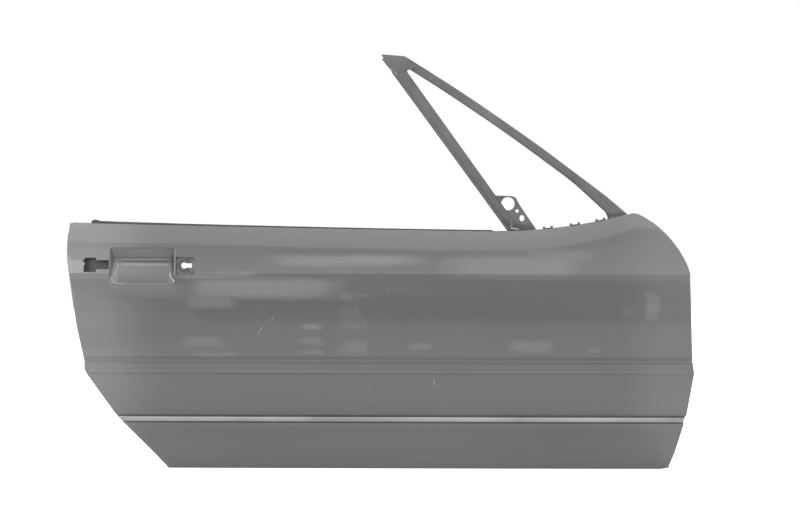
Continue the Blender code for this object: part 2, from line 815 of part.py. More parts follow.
def panel_row(distance, sink, out, clamp):
    """One line round the inner panel, a distance in from the skin's edge.

    out is None on the flange, which lies under the skin, a depth below the flange, or a fixed line.
    clamp is None, or how far inside the flat hinge and latch walls the line stays.
    """
    line = []
    for r, c in hem_path:
        front = c > 0
        if r == 0 and 0 < c < column_count - 1:
            spot = up_column(c, grid[0][c].z + distance, sink)
        elif r == 0:
            side = along_row(1, distance / edge_slant(1, front), sink, front)
            low = along_row(0, distance / edge_slant(0, front), sink, front)
            spot = mix(low, side, min(distance / (side.z - low.z), 1))
        else:
            spot = along_row(r, distance / edge_slant(r, front), sink, front)
        if out is not None:
            spot = at(spot.x, -spot.y - out if out > flange_step / 2 else out, spot.z)
        if clamp is not None:
            if spot.x > widest_x:
                spot.x = min(spot.x, hinge_wall_x - clamp)
            elif spot.z > planar_from_z:
                spot.x = max(spot.x, latch_wall_x + clamp)
        line.append(spot)
    left = hem_path.index((0, 0))
    right = hem_path.index((0, column_count - 1))
    first, last = grid[0][0].x, grid[0][column_count - 1].x
    for i in range(left + 1, right):
        share = (grid[0][hem_path[i][1]].x - first) / (last - first)
        line[i].x = mix(line[left].x, line[right].x, share)
    return line


flange_step = 0.005
under_skin = skin_sheet + gap
panel_rows = [panel_row(0.0005, under_skin, None, None), panel_row(flange, under_skin, None, None),
              panel_row(wall_inset, under_skin, flange_step, 0),
              panel_row(wall_foot, under_skin, panel_wall + 0.004, 0),
              panel_row(face_inset, under_skin, panel_wall, 0.004)]


def rear_wall_x(out, z):
    """Where the rear wall of the inner panel lies, on its inside."""
    for i in range(hem_path.index((0, 0))):
        high_top, low_top = panel_rows[2][i], panel_rows[2][i + 1]
        high_foot, low_foot = panel_rows[3][i], panel_rows[3][i + 1]
        if low_top.z <= z <= high_top.z:
            v = (z - low_top.z) / (high_top.z - low_top.z)
            top = mix(low_top, high_top, v)
            foot = mix(low_foot, high_foot, v)
            return mix(foot.x, top.x, (out + foot.y) / (foot.y - top.y))
    return latch_wall_x


def build_inner_panel():
    wall = panel_wall
    bm = bmesh.new()
    rows = panel_rows
    verts, edges = chain(bm, rows[0])
    verts, edges = grow_rows(bm, verts, edges, rows[1:])

    left_end, right_end = verts[0].co.copy(), verts[-1].co.copy()
    top_count = 14
    top_points = []
    for k in range(1, top_count):
        t = k / top_count
        x = mix(right_end.x, left_end.x, t)
        edge = mix(right_end.z, left_end.z, t)
        belt = belt_line(x) - belt_gap_z
        top_points.append(at(x, wall, min(belt, mix(edge, belt, ease(top_count * min(t, 1 - t))))))
    top_verts = [bm.verts.new(p) for p in top_points]
    loop = verts + top_verts

    flat = [Vector((v.co.x, v.co.z)) for v in loop]
    level = [0.0] * len(flat)
    edges_2d = [(i, (i + 1) % len(flat)) for i in range(len(flat))]
    holes = []
    for loops, is_open in panel_features():
        for outline, depth_in in loops:
            start = len(flat)
            flat += [Vector(p) for p in outline]
            level += [depth_in] * len(outline)
            edges_2d += [(start + i, start + (i + 1) % len(outline)) for i in range(len(outline))]
        if is_open:
            holes.append(loops[-1][0])
    spots, _, faces, origins, _, _ = delaunay_2d_cdt(flat, edges_2d, [], 1, 1e-7)
    made = []
    for spot, source in zip(spots, origins):
        first = source[0]
        if first < len(loop):
            made.append(loop[first])
        else:
            made.append(bm.verts.new(at(spot.x, wall + level[first], spot.y)))

    def inside(point, outline):
        crossings = 0
        for (x0, y0), (x1, y1) in zip(outline, outline[1:] + outline[:1]):
            if (y0 > point.y) != (y1 > point.y) and point.x < x0 + (point.y - y0) * (x1 - x0) / (y1 - y0):
                crossings += 1
        return crossings % 2 == 1

    for face in faces:
        middle = sum((spots[i] for i in face), Vector((0, 0))) / len(face)
        if not any(inside(middle, hole) for hole in holes):
            bm.faces.new([made[i] for i in face])

    top_chain = [verts[-1]] + top_verts + [verts[0]]
    top_edges = [bm.edges.get(pair) for pair in zip(top_chain, top_chain[1:])]
    turned = [[v.co + at(0, top_turn, 0) for v in top_chain]]
    for row in turned:
        row[0].x -= 0.002
        row[-1].x += 0.002
    grow_rows(bm, top_chain, top_edges, turned)
    loose = [v for v in bm.verts if not v.link_faces]
    bmesh.ops.delete(bm, geom=loose, context="VERTS")
    point_normals(bm, Vector((0, -1, 0)))
    panel = thicken(add_object("inner_panel", bm, inner_paint), panel_sheet)

    bm = bmesh.new()
    for z in (upper_hinge_z, lower_hinge_z):
        for side in (-0.5, 0.5):
            through_x(bm, circle(hinge_out, z + side * hinge_bolt_pitch, hinge_bolt_radius, 10),
                      hinge_x - 0.006, hinge_x + 0.006)
    through_x(bm, rounded_box(hinge_out, strap_z, 0.024, 0.050, 0.006, 2), hinge_x - 0.006, hinge_x + 0.006)
    through_x(bm, circle(hinge_out, harness_z, harness_radius, 14), hinge_x - 0.006, hinge_x + 0.006)
    latch_face = -reach + latch_setback
    through_x(bm, rounded_box(0.034, latch_z, 0.050, 0.060, 0.008, 2), latch_face - 0.006, latch_face + 0.006)
    for out, z in latch_screws():
        through_x(bm, circle(out, z, 0.004, 8), latch_face - 0.006, latch_face + 0.006)
    for x in drain_places():
        add_prism(bm, [at(x + dx, o + 0.030, wall_inset - 0.004) for dx, o in circle(0, 0, drain_radius, 12)],
                  [at(x + dx, o + 0.030, wall_inset + 0.012) for dx, o in circle(0, 0, drain_radius, 12)])
    combine(panel, cutter("panel_cuts", bm), "DIFFERENCE")


def latch_screws():
    return [(0.034 + side * 0.034, latch_z + up) for side, up in ((-1, 0.020), (1, 0.020), (0, -0.042))]


def drain_places():
    return (-0.668 * reach, -0.419 * reach, -0.171 * reach)


def guide_ring(x, z, rearward):
    """Level section of a steel channel that opens towards the glass."""
    line = glass_line(z)
    half = guide_width / 2
    inner = half - guide_sheet
    outline = [(guide_depth, -half), (guide_depth, -inner), (guide_sheet, -inner), (guide_sheet, inner),
               (guide_depth, inner), (guide_depth, half), (0, half), (0, -half)]
    return [at(x + dx * rearward, line + do, z) for dx, do in outline]


def front_guide_x(z):
    """The back of the front guide, in line with the division post."""
    return travel_x(*post_foot, z) + 0.008


def rear_guide_line(z):
    return travel_x(rear_guide_x, rear_guide_top, z)


def build_guides():
    steps = 6
    heights = [mix(front_guide_bottom, post_bottom_z - gap, k / steps) for k in range(steps + 1)]
    loft("front_glass_guide", [guide_ring(front_guide_x(z), z, -1) for z in heights], zinc)
    heights = [mix(rear_guide_bottom, rear_guide_top, k / steps) for k in range(steps + 1)]
    loft("rear_glass_guide", [guide_ring(rear_guide_line(z), z, 1) for z in heights], zinc)


def strap(name, x, z, width, head_out, material=zinc):
    """A bent strap: a foot on the cabin wall of the inner panel, a leg across, a head at a given line."""
    foot = inner_face + panel_sheet + gap + bracket_sheet
    half = width / 2
    rows = []
    for dx in (-half, half):
        rows.append([at(x + dx, foot, z - 0.030), at(x + dx, foot, z - 0.006), at(x + dx, foot + 0.006, z),
                     at(x + dx, head_out - 0.006, z), at(x + dx, head_out, z + 0.006),
                     at(x + dx, head_out, z + 0.026)])
    return pressing(name, rows, bracket_sheet, material, Vector((0, -1, 0)))


def post_half(z):
    """Half the post's width, along the level x."""
    width = post_width + post_flare * (z - post_foot[1]) / (post_top_z - post_foot[1])
    return width / 2 * math.sqrt(1 + travel_slope ** 2)


def post_ring(z):
    """Level section of the division post, with the run channel's notch in its rear face."""
    x = travel_x(*post_foot, z)
    line = glass_line(z)
    half = post_half(z)
    deep = run_depth * math.sqrt(1 + travel_slope ** 2)
    outline = [(-half, -frame_depth / 2), (-half, -run_width / 2), (-half + deep, -run_width / 2),
               (-half + deep, run_width / 2), (-half, run_width / 2), (-half, frame_depth / 2),
               (half - 0.004, frame_depth / 2), (half, frame_depth / 2 - 0.004),
               (half, -frame_depth / 2 + 0.004), (half - 0.004, -frame_depth / 2)]
    return [at(x + dx, line + do, z) for dx, do in outline]


def run_ring(z):
    x = travel_x(*post_foot, z)
    line = glass_line(z)
    stretch = math.sqrt(1 + travel_slope ** 2)
    rear = -post_half(z) - 0.0012
    front = -post_half(z) + run_depth * stretch - gap * 2
    half = run_width / 2 - gap
    wall = 0.0022
    outline = [(rear, -half), (rear, -half + wall), (front - wall * stretch, -half + wall),
               (front - wall * stretch, half - wall), (rear, half - wall), (rear, half), (front, half),
               (front, -half)]
    return [at(x + dx, line + do, z) for dx, do in outline]


post_heights = [post_bottom_z, 0.50, 0.56, 0.62, 0.68, 0.74, 0.79, post_top_z]

# Outer and inner edge of the pillar bar, as heights over x
bar_upper = smooth_through([(-0.5575, 0.8642), (-0.5167, 0.8385), (-0.4374, 0.7862), (-0.3628, 0.7342),
                            (-0.2906, 0.6826), (-0.2229, 0.6312), (-0.1554, 0.5800), (-0.1100, 0.5418)])
bar_lower = smooth_through([(-0.5640, 0.8468), (-0.5532, 0.8400), (-0.5102, 0.8122), (-0.4332, 0.7601),
                            (-0.3587, 0.7083),
                            (-0.2887, 0.6567), (-0.2210, 0.6055), (-0.1789, 0.5671), (-0.1515, 0.5416)])


def bar_ring(upper, lower):
    """Section between the bar's outer edge and its inner edge."""
    across = upper - lower
    line = glass_line((upper.z + lower.z) / 2)
    half = frame_depth / 2
    outline = [(0.00, -half + 0.003), (0.00, half - 0.003), (0.12, half), (0.72, half), (0.80, half - 0.003),
               (1.00, half - 0.005), (1.00, -half + 0.003), (0.88, -half), (0.12, -half)]
    return [at(lower.x + across.x * s, line + do, lower.z + across.z * s) for s, do in outline]


def bar_sections():
    starts = [-0.5535, -0.505, -0.4370, -0.3628, -0.2906, -0.2229, -0.1640]
    pairs = []
    for x in starts:
        upper = Vector((x, 0, bar_upper(x)))
        step = 0.002
        rise = (bar_upper(x + step) - bar_upper(x - step)) / (2 * step)
        drop = bar_upper(x) - bar_lower(x)
        reach_down = drop / (1 + rise * rise)
        low_x = x + rise * reach_down
        pairs.append((upper, Vector((low_x, 0, bar_lower(low_x)))))
    pairs[-1] = (Vector((-0.150, 0, bar_upper(-0.150))), Vector((-0.1789, 0, bar_lower(-0.1789))))
    pairs.append((Vector((-0.1100, 0, 0.5418)), Vector((-0.1515, 0, 0.5416))))
    pairs.append((Vector((-0.1005, 0, 0.5338)), Vector((-0.1474, 0, 0.5320))))
    pairs.append((Vector((-0.1002, 0, 0.5050)), Vector((-0.1460, 0, 0.5050))))
    pairs.append((Vector((bar_foot_x[1], 0, bar_bottom_z)), Vector((bar_foot_x[0], 0, bar_bottom_z))))
    return pairs


def build_quarter_frame():
    loft("division_post", [post_ring(z) for z in post_heights], frame_paint)
    run_heights = [0.488] + post_heights[2:]
    loft("glass_run", [run_ring(z) for z in run_heights], rubber)
    loft("pillar_bar", [bar_ring(u, l) for u, l in bar_sections()], frame_paint)

    # Corner bracket: butts on the post's top and on the bar's end, with two short fins that point rearwards
    top_x = travel_x(*post_foot, post_top_z)
    half = post_half(post_top_z)
    first_upper, first_lower = bar_sections()[0]
    across = (first_upper - first_lower).normalized()
    along = Vector((-across.z, 0, across.x))
    if along.x > 0:
        along = -along
    bar_high = first_upper + along * gap
    bar_low = first_lower + along * gap
    base = post_top_z + gap
    fin = Vector((top_x - half - 0.0244, 0, base + 0.0399))
    outline = [(top_x - half, base), (top_x + half, base), (top_x + half - 0.0016, base + 0.0040),
               (top_x + half + 0.0010, base + 0.0066), (bar_low.x - 0.0040, bar_low.z + 0.0024),
               (bar_low.x, bar_low.z), (bar_high.x, bar_high.z), (bar_high.x - 0.0094, bar_high.z + 0.0066),
               (bar_high.x - 0.0180, bar_high.z + 0.0118), (bar_high.x - 0.0262, bar_high.z + 0.0165),
               (fin.x, fin.z), (fin.x + 0.0053, fin.z - 0.0088), (fin.x + 0.0012, fin.z - 0.0101),
               (fin.x + 0.0075, fin.z - 0.0182)]
    near = [at(x, glass_line(z) + frame_depth / 2, z) for x, z in outline]
    far = [at(x, glass_line(z) - frame_depth / 2, z) for x, z in outline]
    loft("corner_bracket", [near, far], frame_paint)


def build_mirror_plate():
    """Plate ahead of the post, with a large hole, a small one and an oval one."""
    stretch = math.sqrt(1 + travel_slope ** 2)

    def front_of_post(z):
        return travel_x(*post_foot, z) + post_half(z) + gap * stretch

    top, low = 0.5765, 0.468
    outline = [(front_of_post(top), top), (-0.3475, top - 0.0020), (-0.3425, top - 0.0045),
               (-0.3401, top - 0.0085), (-0.3325, 0.5540), (-0.3153, 0.5285), (-0.2979, 0.5030),
               (-0.2900, low), (front_of_post(low), low)]
    out = glass_line(0.55) + 0.004
    tilt = (glass_line(0.58) - glass_line(0.50)) / 0.08
    near = [at(x, out + tilt * (z - 0.55), z) for x, z in outline]
    far = [p + at(0, -plate_sheet, 0) for p in near]
    plate = loft("mirror_plate", [near, far], frame_paint)
    bm = bmesh.new()
    hub = (-0.3589, 0.5591)
    radius = 0.0141
    flat_from = math.radians(200)
    flat_to = math.radians(262)
    arc = [flat_to + (2 * math.pi - (flat_to - flat_from)) * k / 17 for k in range(18)]
    hub_cut = [(hub[0] + radius * math.cos(a), hub[1] + radius * math.sin(a)) for a in arc]
    through_out(bm, hub_cut, -0.02, 0.08)
    through_out(bm, circle(-0.3396, 0.5436, 0.0036, 12), -0.02, 0.08)
    oval = [(-0.3293 + dx * 0.0052, 0.5283 + dz * 0.0066) for dx, dz in circle(0, 0, 1, 14)]
    through_out(bm, oval, -0.02, 0.08)
    combine(plate, cutter("mirror_cuts", bm), "DIFFERENCE")


def build_belt_clips():
    """Spring clips that straddle the belt roll, each with two upright prongs."""
    places = [("rear", -0.2750), ("middle", -0.2179), ("front", -0.1639)]
    pitch = 0.0160
    prong = 0.0050
    rise = 0.0038
    sheet = 0.0010
    top = row_count - 1
    edge = [grid[top][c] for c in range(column_count)]

    def over_roll(x, turn, clear):
        for c in range(1, column_count - 2):
            if edge[c].x <= x <= edge[c + 1].x:
                t = (x - edge[c].x) / (edge[c + 1].x - edge[c].x)
                return mix(roll_point(c, turn, clear), roll_point(c + 1, turn, clear), t)
        return roll_point(1, turn, clear)

    for label, x in places:
        start = x - pitch / 2 - prong / 2
        end = x + pitch / 2 + prong / 2
        inner = roll_radius + gap
        outer = inner + sheet
        turns = [math.radians(a) for a in (25, 55, 85, 115, 142)]
        rings = []
        for spot in (start, start + prong, end - prong, end):
            low = [over_roll(spot, a, inner) for a in turns]
            high = [over_roll(spot, a, outer) for a in turns]
            low.append(low[-1] + at(0, 0, -0.008))
            high.append(high[-1] + at(0, 0, -0.008))
            rings.append(low + high[::-1])
        saddle = loft("belt_clip_" + label, rings, black_steel)
        for number, begin in enumerate((start, end - prong)):
            foot = over_roll(begin + prong / 2, math.radians(60), inner + sheet / 2)
            bm = bmesh.new()
            box = [(begin, -0.0008), (begin + prong, -0.0008), (begin + prong, 0.0008), (begin, 0.0008)]
            low = [at(px, -foot.y + o, foot.z) for px, o in box]
            high = [at(px, -foot.y + o, foot.z + rise) for px, o in box]
            add_prism(bm, low, high)
            combine(saddle, cutter("prong_%s_%d" % (label, number), bm), "UNION")


def build_bar_foot_seal():
    """Rubber block between the bar's foot and the skin's belt roll."""
    x0, x1 = -0.0997, -0.0870
    z0, z1 = belt_line(apex_x) - 0.012, belt_line(apex_x) - 0.0005
    line = glass_line(z0)
    roll_in = min(-roll_point(c, roll_turn, roll_radius).y for c in seal_columns(x0 - 0.02, apex_x))
    outline = [(x0, z0), (x1, z0), (x1, z1 - 0.003), (x1 - 0.002, z1 - 0.0005), (x0 + 0.003, z1),
               (x0, z1 - 0.002)]
    near = [at(x, roll_in - gap * 2, z) for x, z in outline]
    far = [at(x, line - frame_depth / 2, z) for x, z in outline]
    loft("bar_foot_seal", [near, far], rubber)


def hat(name, places, z_low, z_high, stand, foot, material, rest=gap):
    """A hat section behind the skin: its floor stands off by a distance, its two feet lie on the skin."""
    rows = []
    for x in places:
        lie = skin_sheet + rest
        low_foot = [under_at(x, z_low, lie), under_at(x, z_low + foot, lie)]
        high_foot = [under_at(x, z_high - foot, lie), under_at(x, z_high, lie)]
        for spot in low_foot + high_foot:
            spot.x = x
        floor = [at(x, body_out(x, z) - stand, z) for z in (z_low + foot + 0.006, z_high - foot - 0.006)]
        rows.append(low_foot + floor + high_foot)
    return pressing(name, rows, bracket_sheet, material, Vector((0, -1, 0)))


def build_lock_parts():
    plate_stand = 0.007
    key_floor = body_out(key_x, key_z) - plate_stand
    low, high = crest_z - lock_drop, crest_z - lock_drop + lock_height
    plate = hat("lock_plate", lock_columns, low - 0.020, high + 0.017, plate_stand, 0.010, black_steel,
                rest=0.0013)
    bm = bmesh.new()
    half = key_slot[1] / 2
    lean = math.asin(half / key_radius)
    head = [(key_x + key_radius * math.cos(a), key_z + key_radius * math.sin(a))
            for a in [lean + (2 * math.pi - 2 * lean) * k / 14 for k in range(15)]]
    tail = [(key_x + key_slot[0], key_z - half), (key_x + key_slot[0], key_z + half)]
    through_out(bm, head + tail, key_floor - 0.01, key_floor + 0.01)
    combine(plate, cutter("keyhole", bm), "DIFFERENCE")

    slot_x = -reach + slot_setback
    slot_end = slot_x + slot_wide + slot_narrow
    low, high = crest_z + slot_rise, crest_z + slot_rise + slot_height
    bracket_stand = 0.018
    places = (latch_wall_x + 0.0036, -reach + 0.062, slot_end + 0.001)
    hat("handle_bracket", places, low - 0.026, high + 0.024, bracket_stand, 0.012, black_steel)


def build_belt_rails():
    """Rolled stiffeners along the belt, one on the skin and one on the inner panel."""
    sheet = 0.001
    rows = []
    for c in range(column_index(-reach + 0.045), column_index(apex_x - 0.080) + 1):
        lip = roll_point(c, roll_turn, roll_radius)
        stand = -lip.y + skin_sheet + seal_room + sheet
        x = grid[row_count - 1][c].x
        foot_low, foot_high = grid_at_x(row_count - 5, x), grid_at_x(row_count - 4, x)
        rows.append([foot_low, foot_high, at(x, stand, foot_high.z + 0.002), at(x, stand, lip.z - 0.003)])
    pressing("outer_belt_rail", rows, sheet, inner_paint, Vector((0, -1, 0)))

    stand = panel_wall + gap
    rows = []
    for k in range(13):
        x = mix(-reach + 0.128, post_foot[0] - 0.050, k / 12)
        top = belt_line(x) - belt_gap_z - panel_sheet - gap * 3
        rows.append([at(x, stand, top - 0.024), at(x, stand, top - 0.002), at(x, stand + 0.002, top),
                     at(x, stand + 0.024, top), at(x, stand + 0.026, top - 0.002),
                     at(x, stand + 0.026, top - 0.020)])
    pressing("inner_belt_rail", rows, sheet, inner_paint, Vector((0, 0, 1)))


def column_index(x):
    top = grid[row_count - 1]
    return min(range(1, column_count - 1), key=lambda c: abs(top[c].x - x))


def grid_at_x(row, x):
    """A place just under the skin, where a row of the grid crosses x."""
    depth = skin_sheet + gap
    for c in range(column_count - 1):
        a, b = grid[row][c], grid[row][c + 1]
        if a.x <= x <= b.x:
            return mix(under(row, c, depth), under(row, c + 1, depth), (x - a.x) / (b.x - a.x))
    return under(row, 0, depth)


def tapped_plate(name, x_face, inward, centre, size, holes, thickness, hole_radius):
    """A thick plate against the inside of an end wall, with bosses round its tapped holes."""
    near = x_face + inward * gap
    far = near + inward * thickness
    nut = far + inward * 0.006
    ring = rounded_box(centre[0], centre[1], size[0], size[1], 0.006, 2)
    plate = loft(name, [[at(near, o, z) for o, z in ring], [at(far, o, z) for o, z in ring]], zinc)
    for number, (o, z) in enumerate(holes):
        bm = bmesh.new()
        through_x(bm, circle(o, z, hole_radius + 0.0035, 12), near + inward * thickness / 2, nut)
        combine(plate, cutter("%s_boss_%d" % (name, number), bm), "UNION")
    bm = bmesh.new()
    for o, z in holes:
        through_x(bm, circle(o, z, hole_radius, 10), near - inward * 0.002, nut + inward * 0.002)
    combine(plate, cutter(name + "_holes", bm), "DIFFERENCE")
    return plate


def build_end_plates():
    inside_hinge = hinge_wall_x
    for label, z in (("upper", upper_hinge_z), ("lower", lower_hinge_z)):
        holes = [(hinge_out, z - hinge_bolt_pitch / 2), (hinge_out, z + hinge_bolt_pitch / 2)]
        tapped_plate("hinge_plate_" + label, inside_hinge, -1, (hinge_out, z), (0.060, 0.080), holes, 0.004,
                     0.0045)
    strap_ring = rounded_box(hinge_out, strap_z, 0.050, 0.078, 0.006, 2)
    near = inside_hinge - gap
    plate = loft("check_strap_plate", [[at(near, o, z) for o, z in strap_ring],
                                       [at(near - 0.003, o, z) for o, z in strap_ring]], zinc)
    bm = bmesh.new()
    through_x(bm, rounded_box(hinge_out, strap_z, 0.018, 0.044, 0.005, 2), near - 0.01, near + 0.01)
    combine(plate, cutter("strap_slot", bm), "DIFFERENCE")

    near = latch_wall_x + gap
    ring = rounded_box(0.034, latch_z - 0.005, 0.090, 0.096, 0.010, 2)
    rings = [[at(near, o, z) for o, z in ring], [at(near + 0.0025, o, z) for o, z in ring]]
    plate = loft("latch_plate", rings, zinc)
    bm = bmesh.new()
    through_x(bm, rounded_box(0.034, latch_z, 0.044, 0.054, 0.006, 2), near - 0.01, near + 0.01)
    for o, z in latch_screws():
        through_x(bm, circle(o, z, 0.003, 8), near - 0.01, near + 0.01)
    combine(plate, cutter("latch_opening", bm), "DIFFERENCE")


def beam_point(t):
    """The beam's middle line, from its rear end (t = 0) to its front end (t = 1)."""
    rear_end = latch_beam_x() + beam_saddle + gap
    front_end = hinge_wall_x - gap - beam_saddle - gap
    bow = beam_bow * 4 * t * (1 - t)
    return at(mix(rear_end, front_end, t), mix(beam_rear_out, beam_front_out, t) + bow,
              mix(beam_rear_z, beam_front_z, t))


def latch_beam_x():
    return max(rear_wall_x(beam_rear_out + o, beam_rear_z + z) for o in (-0.028, 0.012)
               for z in (-0.014, 0.014)) + gap


def build_beam():
    """Tube across the door, with a saddle on each end wall and a spigot in each end of the tube."""
    steps = 6
    outer = []
    inner = []
    for k in range(steps + 1):
        spot = beam_point(k / steps)
        outer.append([spot + at(0, o, z) for o, z in circle(0, 0, beam_radius, 14)])
        inner.append([spot + at(0, o, z) for o, z in circle(0, 0, beam_radius - beam_wall, 14)])
    beam = loft("intrusion_beam", outer, zinc)
    inner[0] = [p + Vector((-0.01, 0, 0)) for p in inner[0]]
    inner[-1] = [p + Vector((0.01, 0, 0)) for p in inner[-1]]
    bore = loft("beam_bore", inner, zinc)
    bore.hide_render = True
    bore.display_type = "WIRE"
    combine(beam, bore, "DIFFERENCE")

    spigot = beam_radius - beam_wall - 0.0011
    spigot_length = 0.008
    for label, t, side in (("front", 1, -1), ("rear", 0, 1)):
        end = beam_point(t)
        inboard, outboard, tall = 0.028, 0.0115, 0.015
        ring = rounded_box(-end.y - (inboard - outboard) / 2, end.z, inboard + outboard, 2 * tall, 0.005, 2)
        if label == "front":
            near = [at(hinge_wall_x - gap, o, z) for o, z in ring]
        else:
            near = [at(rear_wall_x(o, z) + gap, o, z) for o, z in ring]
        far = [at(end.x - side * gap, o, z) for o, z in ring]
        plate = loft("beam_bracket_" + label, [near, far], zinc)
        bm = bmesh.new()
        through_x(bm, circle(-end.y, end.z, spigot, 14), end.x - side * (beam_saddle / 2 + gap),
                  end.x + side * spigot_length)
        combine(plate, cutter("beam_spigot_" + label, bm), "UNION")

    for label, t in (("rear", 0.34), ("front", 0.66)):
        spot = beam_point(t)
        low = -spot.y + beam_radius + gap
        high = -under_at(spot.x, spot.z, under_skin).y - gap
        disc = circle(0, 0, 0.008, 12)
        rings = [[at(spot.x + dx, out, spot.z + dz) for dx, dz in disc] for out in (low, high)]
        loft("beam_pad_" + label, rings, mastic)


def build_pads():
    """Bitumen sheet on the back of the skin, and mastic between beam and skin."""
    low = low_rows.index(pad_low)
    rows = []
    first = min(range(column_count), key=lambda c: abs(column_x[c] - pad_rear_x))
    last = min(range(column_count), key=lambda c: abs(column_x[c] - pad_front_x))
    sink = skin_sheet + gap
    for r in (low, low + 1, low + 2):
        rows.append([under(r, c, sink) for c in range(first, last + 1)])
    pressing("damping_pad", rows, pad_sheet, mastic, Vector((0, -1, 0)))


def build_drain_grommets():
    for number, x in enumerate(drain_places()):
        label = ("rear", "middle", "front")[number]
        rings = []
        for radius, z in ((drain_bore, wall_inset - 0.003), (drain_radius - gap, wall_inset - 0.003),
                          (drain_radius - gap, wall_inset + 0.004), (drain_bore, wall_inset + 0.004)):
            rings.append([at(x + dx, o + 0.030, z) for dx, o in circle(0, 0, radius, 12)])
        bm = bmesh.new()
        verts, edges = chain(bm, rings[0], closed=True)
        first = list(verts)
        verts, edges = grow_rows(bm, verts, edges, rings[1:])
        start = [bm.edges.get((first[i - 1], first[i])) for i in range(len(first))]
        bmesh.ops.bridge_loops(bm, edges=edges + start)
        bmesh.ops.recalc_face_normals(bm, faces=bm.faces[:])
        add_object("drain_grommet_" + label, bm, rubber)


def build_straps():
    """Straps that hold the guides, the post and the bar's foot on the inner panel."""
    guide_half = guide_width / 2
    frame_half = frame_depth / 2
    seats = [("front_guide_strap", front_guide_bottom + 0.010, front_guide_x, -guide_depth / 2, guide_half),
             ("rear_guide_strap_low", rear_guide_bottom + 0.010, rear_guide_line, guide_depth / 2,
              guide_half),
             ("rear_guide_strap_high", rear_guide_top - 0.040, rear_guide_line, guide_depth / 2, guide_half),
             ("post_strap", post_bottom_z, lambda z: travel_x(*post_foot, z), 0.0, frame_half),
             ("bar_foot_strap", bar_bottom_z - 0.006, lambda z: (bar_foot_x[0] + bar_foot_x[1]) / 2, 0.0,
              frame_half)]
    for name, z, line_x, shift, half in seats:
        head = z + 0.016
        lean = min(glass_line(head - 0.010), glass_line(head + 0.010))
        strap(name, line_x(head) + shift, z, 0.030, lean - half - 2 * gap)


build_outer_skin()
build_inner_panel()
build_trim_strip()
build_belt_seal()
build_quarter_frame()
build_mirror_plate()
build_belt_clips()
build_bar_foot_seal()
build_lock_parts()
build_belt_rails()
build_end_plates()
build_beam()
build_pads()
build_drain_grommets()
build_guides()
build_straps()
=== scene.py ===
import json
from collections import Counter
from math import atan, copysign, cos, exp, hypot, log, pi, radians, sin, sqrt

import bpy
from mathutils import Matrix, Vector


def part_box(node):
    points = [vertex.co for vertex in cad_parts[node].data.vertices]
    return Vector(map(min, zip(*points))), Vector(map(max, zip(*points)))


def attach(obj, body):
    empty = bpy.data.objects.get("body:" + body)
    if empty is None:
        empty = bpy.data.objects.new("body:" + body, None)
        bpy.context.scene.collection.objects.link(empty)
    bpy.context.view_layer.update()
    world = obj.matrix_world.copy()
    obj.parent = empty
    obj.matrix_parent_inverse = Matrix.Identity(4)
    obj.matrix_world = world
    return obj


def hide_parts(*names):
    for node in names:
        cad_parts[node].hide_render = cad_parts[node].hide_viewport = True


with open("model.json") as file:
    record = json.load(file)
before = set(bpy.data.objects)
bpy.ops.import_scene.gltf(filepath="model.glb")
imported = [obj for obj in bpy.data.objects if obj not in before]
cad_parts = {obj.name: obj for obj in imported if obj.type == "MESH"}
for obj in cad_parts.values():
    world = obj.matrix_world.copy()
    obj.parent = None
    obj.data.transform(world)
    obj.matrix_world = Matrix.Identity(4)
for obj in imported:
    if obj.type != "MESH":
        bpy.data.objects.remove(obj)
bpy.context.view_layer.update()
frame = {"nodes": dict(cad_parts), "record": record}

nodes = frame["nodes"]
scene = bpy.context.scene
door = {"shiftX": 0.014, "glassY": 0.04, "dropZ": 0.385}  # where the door's own measures start in the frame


def spot(x, out, z):  # x forward with 0 at the hinges, out towards the outer face, z up from the bottom
    return Vector((x + door["shiftX"], door["glassY"] - out, z - door["dropZ"]))


def mix(a, b, t):
    return a + (b - a) * t


def ease(t):
    t = min(max(t, 0.0), 1.0)
    return t * t * (3 - 2 * t)


def fill(tree, node, values):  # a socket is joined, anything else is set
    for key, value in values.items():
        if isinstance(value, bpy.types.NodeSocket):
            tree.links.new(value, node.inputs[key])
        else:
            node.inputs[key].default_value = value


def addNode(tree, kind, values={}, **settings):
    node = tree.nodes.new("ShaderNode" + kind)
    for key, value in settings.items():
        setattr(node, key, value)
    fill(tree, node, values)
    return node


def blendColours(tree, factor, first, second):
    return addNode(tree, "Mix", {0: factor, 6: first, 7: second}, data_type="RGBA").outputs[2]


def allGrey(level):
    return (level, level, level, 1)


stage = {"middleX": -0.6, "floorZ": -0.3866, "floorSize": 40.0, "floorGrey": 0.82, "bounceGrey": 0.8,
         "seenFloor": 0.62, "floorRough": 0.9, "floorShine": 0.1,
         "camera": (-0.574, -6.066, 0.0505), "lens": 128.57, "roll": 0.003,
         "horizon": ((0.525, 0.33), (0.64, 2.1), (0.84, 1.2)),
         "cloud": 0.16, "cloudScale": 6.5, "cloudFlat": 3.2}
lights = {"skyPanel": {"place": (-0.6, -1.2, 4.2), "aim": (-0.6, 0.0, 0.0), "size": (5.0, 4.0), "power": 60},
          "frontPanel": {"place": (-3.2, -5.0, 1.6), "aim": (-0.6, 0, 0.1), "size": (2.4, 2.4), "power": 45},
          "backPanel": {"place": (1.4, 3.6, 2.4), "aim": (-0.6, 0, 0.1), "size": (2.5, 2.0), "power": 70}}


def deselect():
    bpy.ops.object.select_all(action="DESELECT")


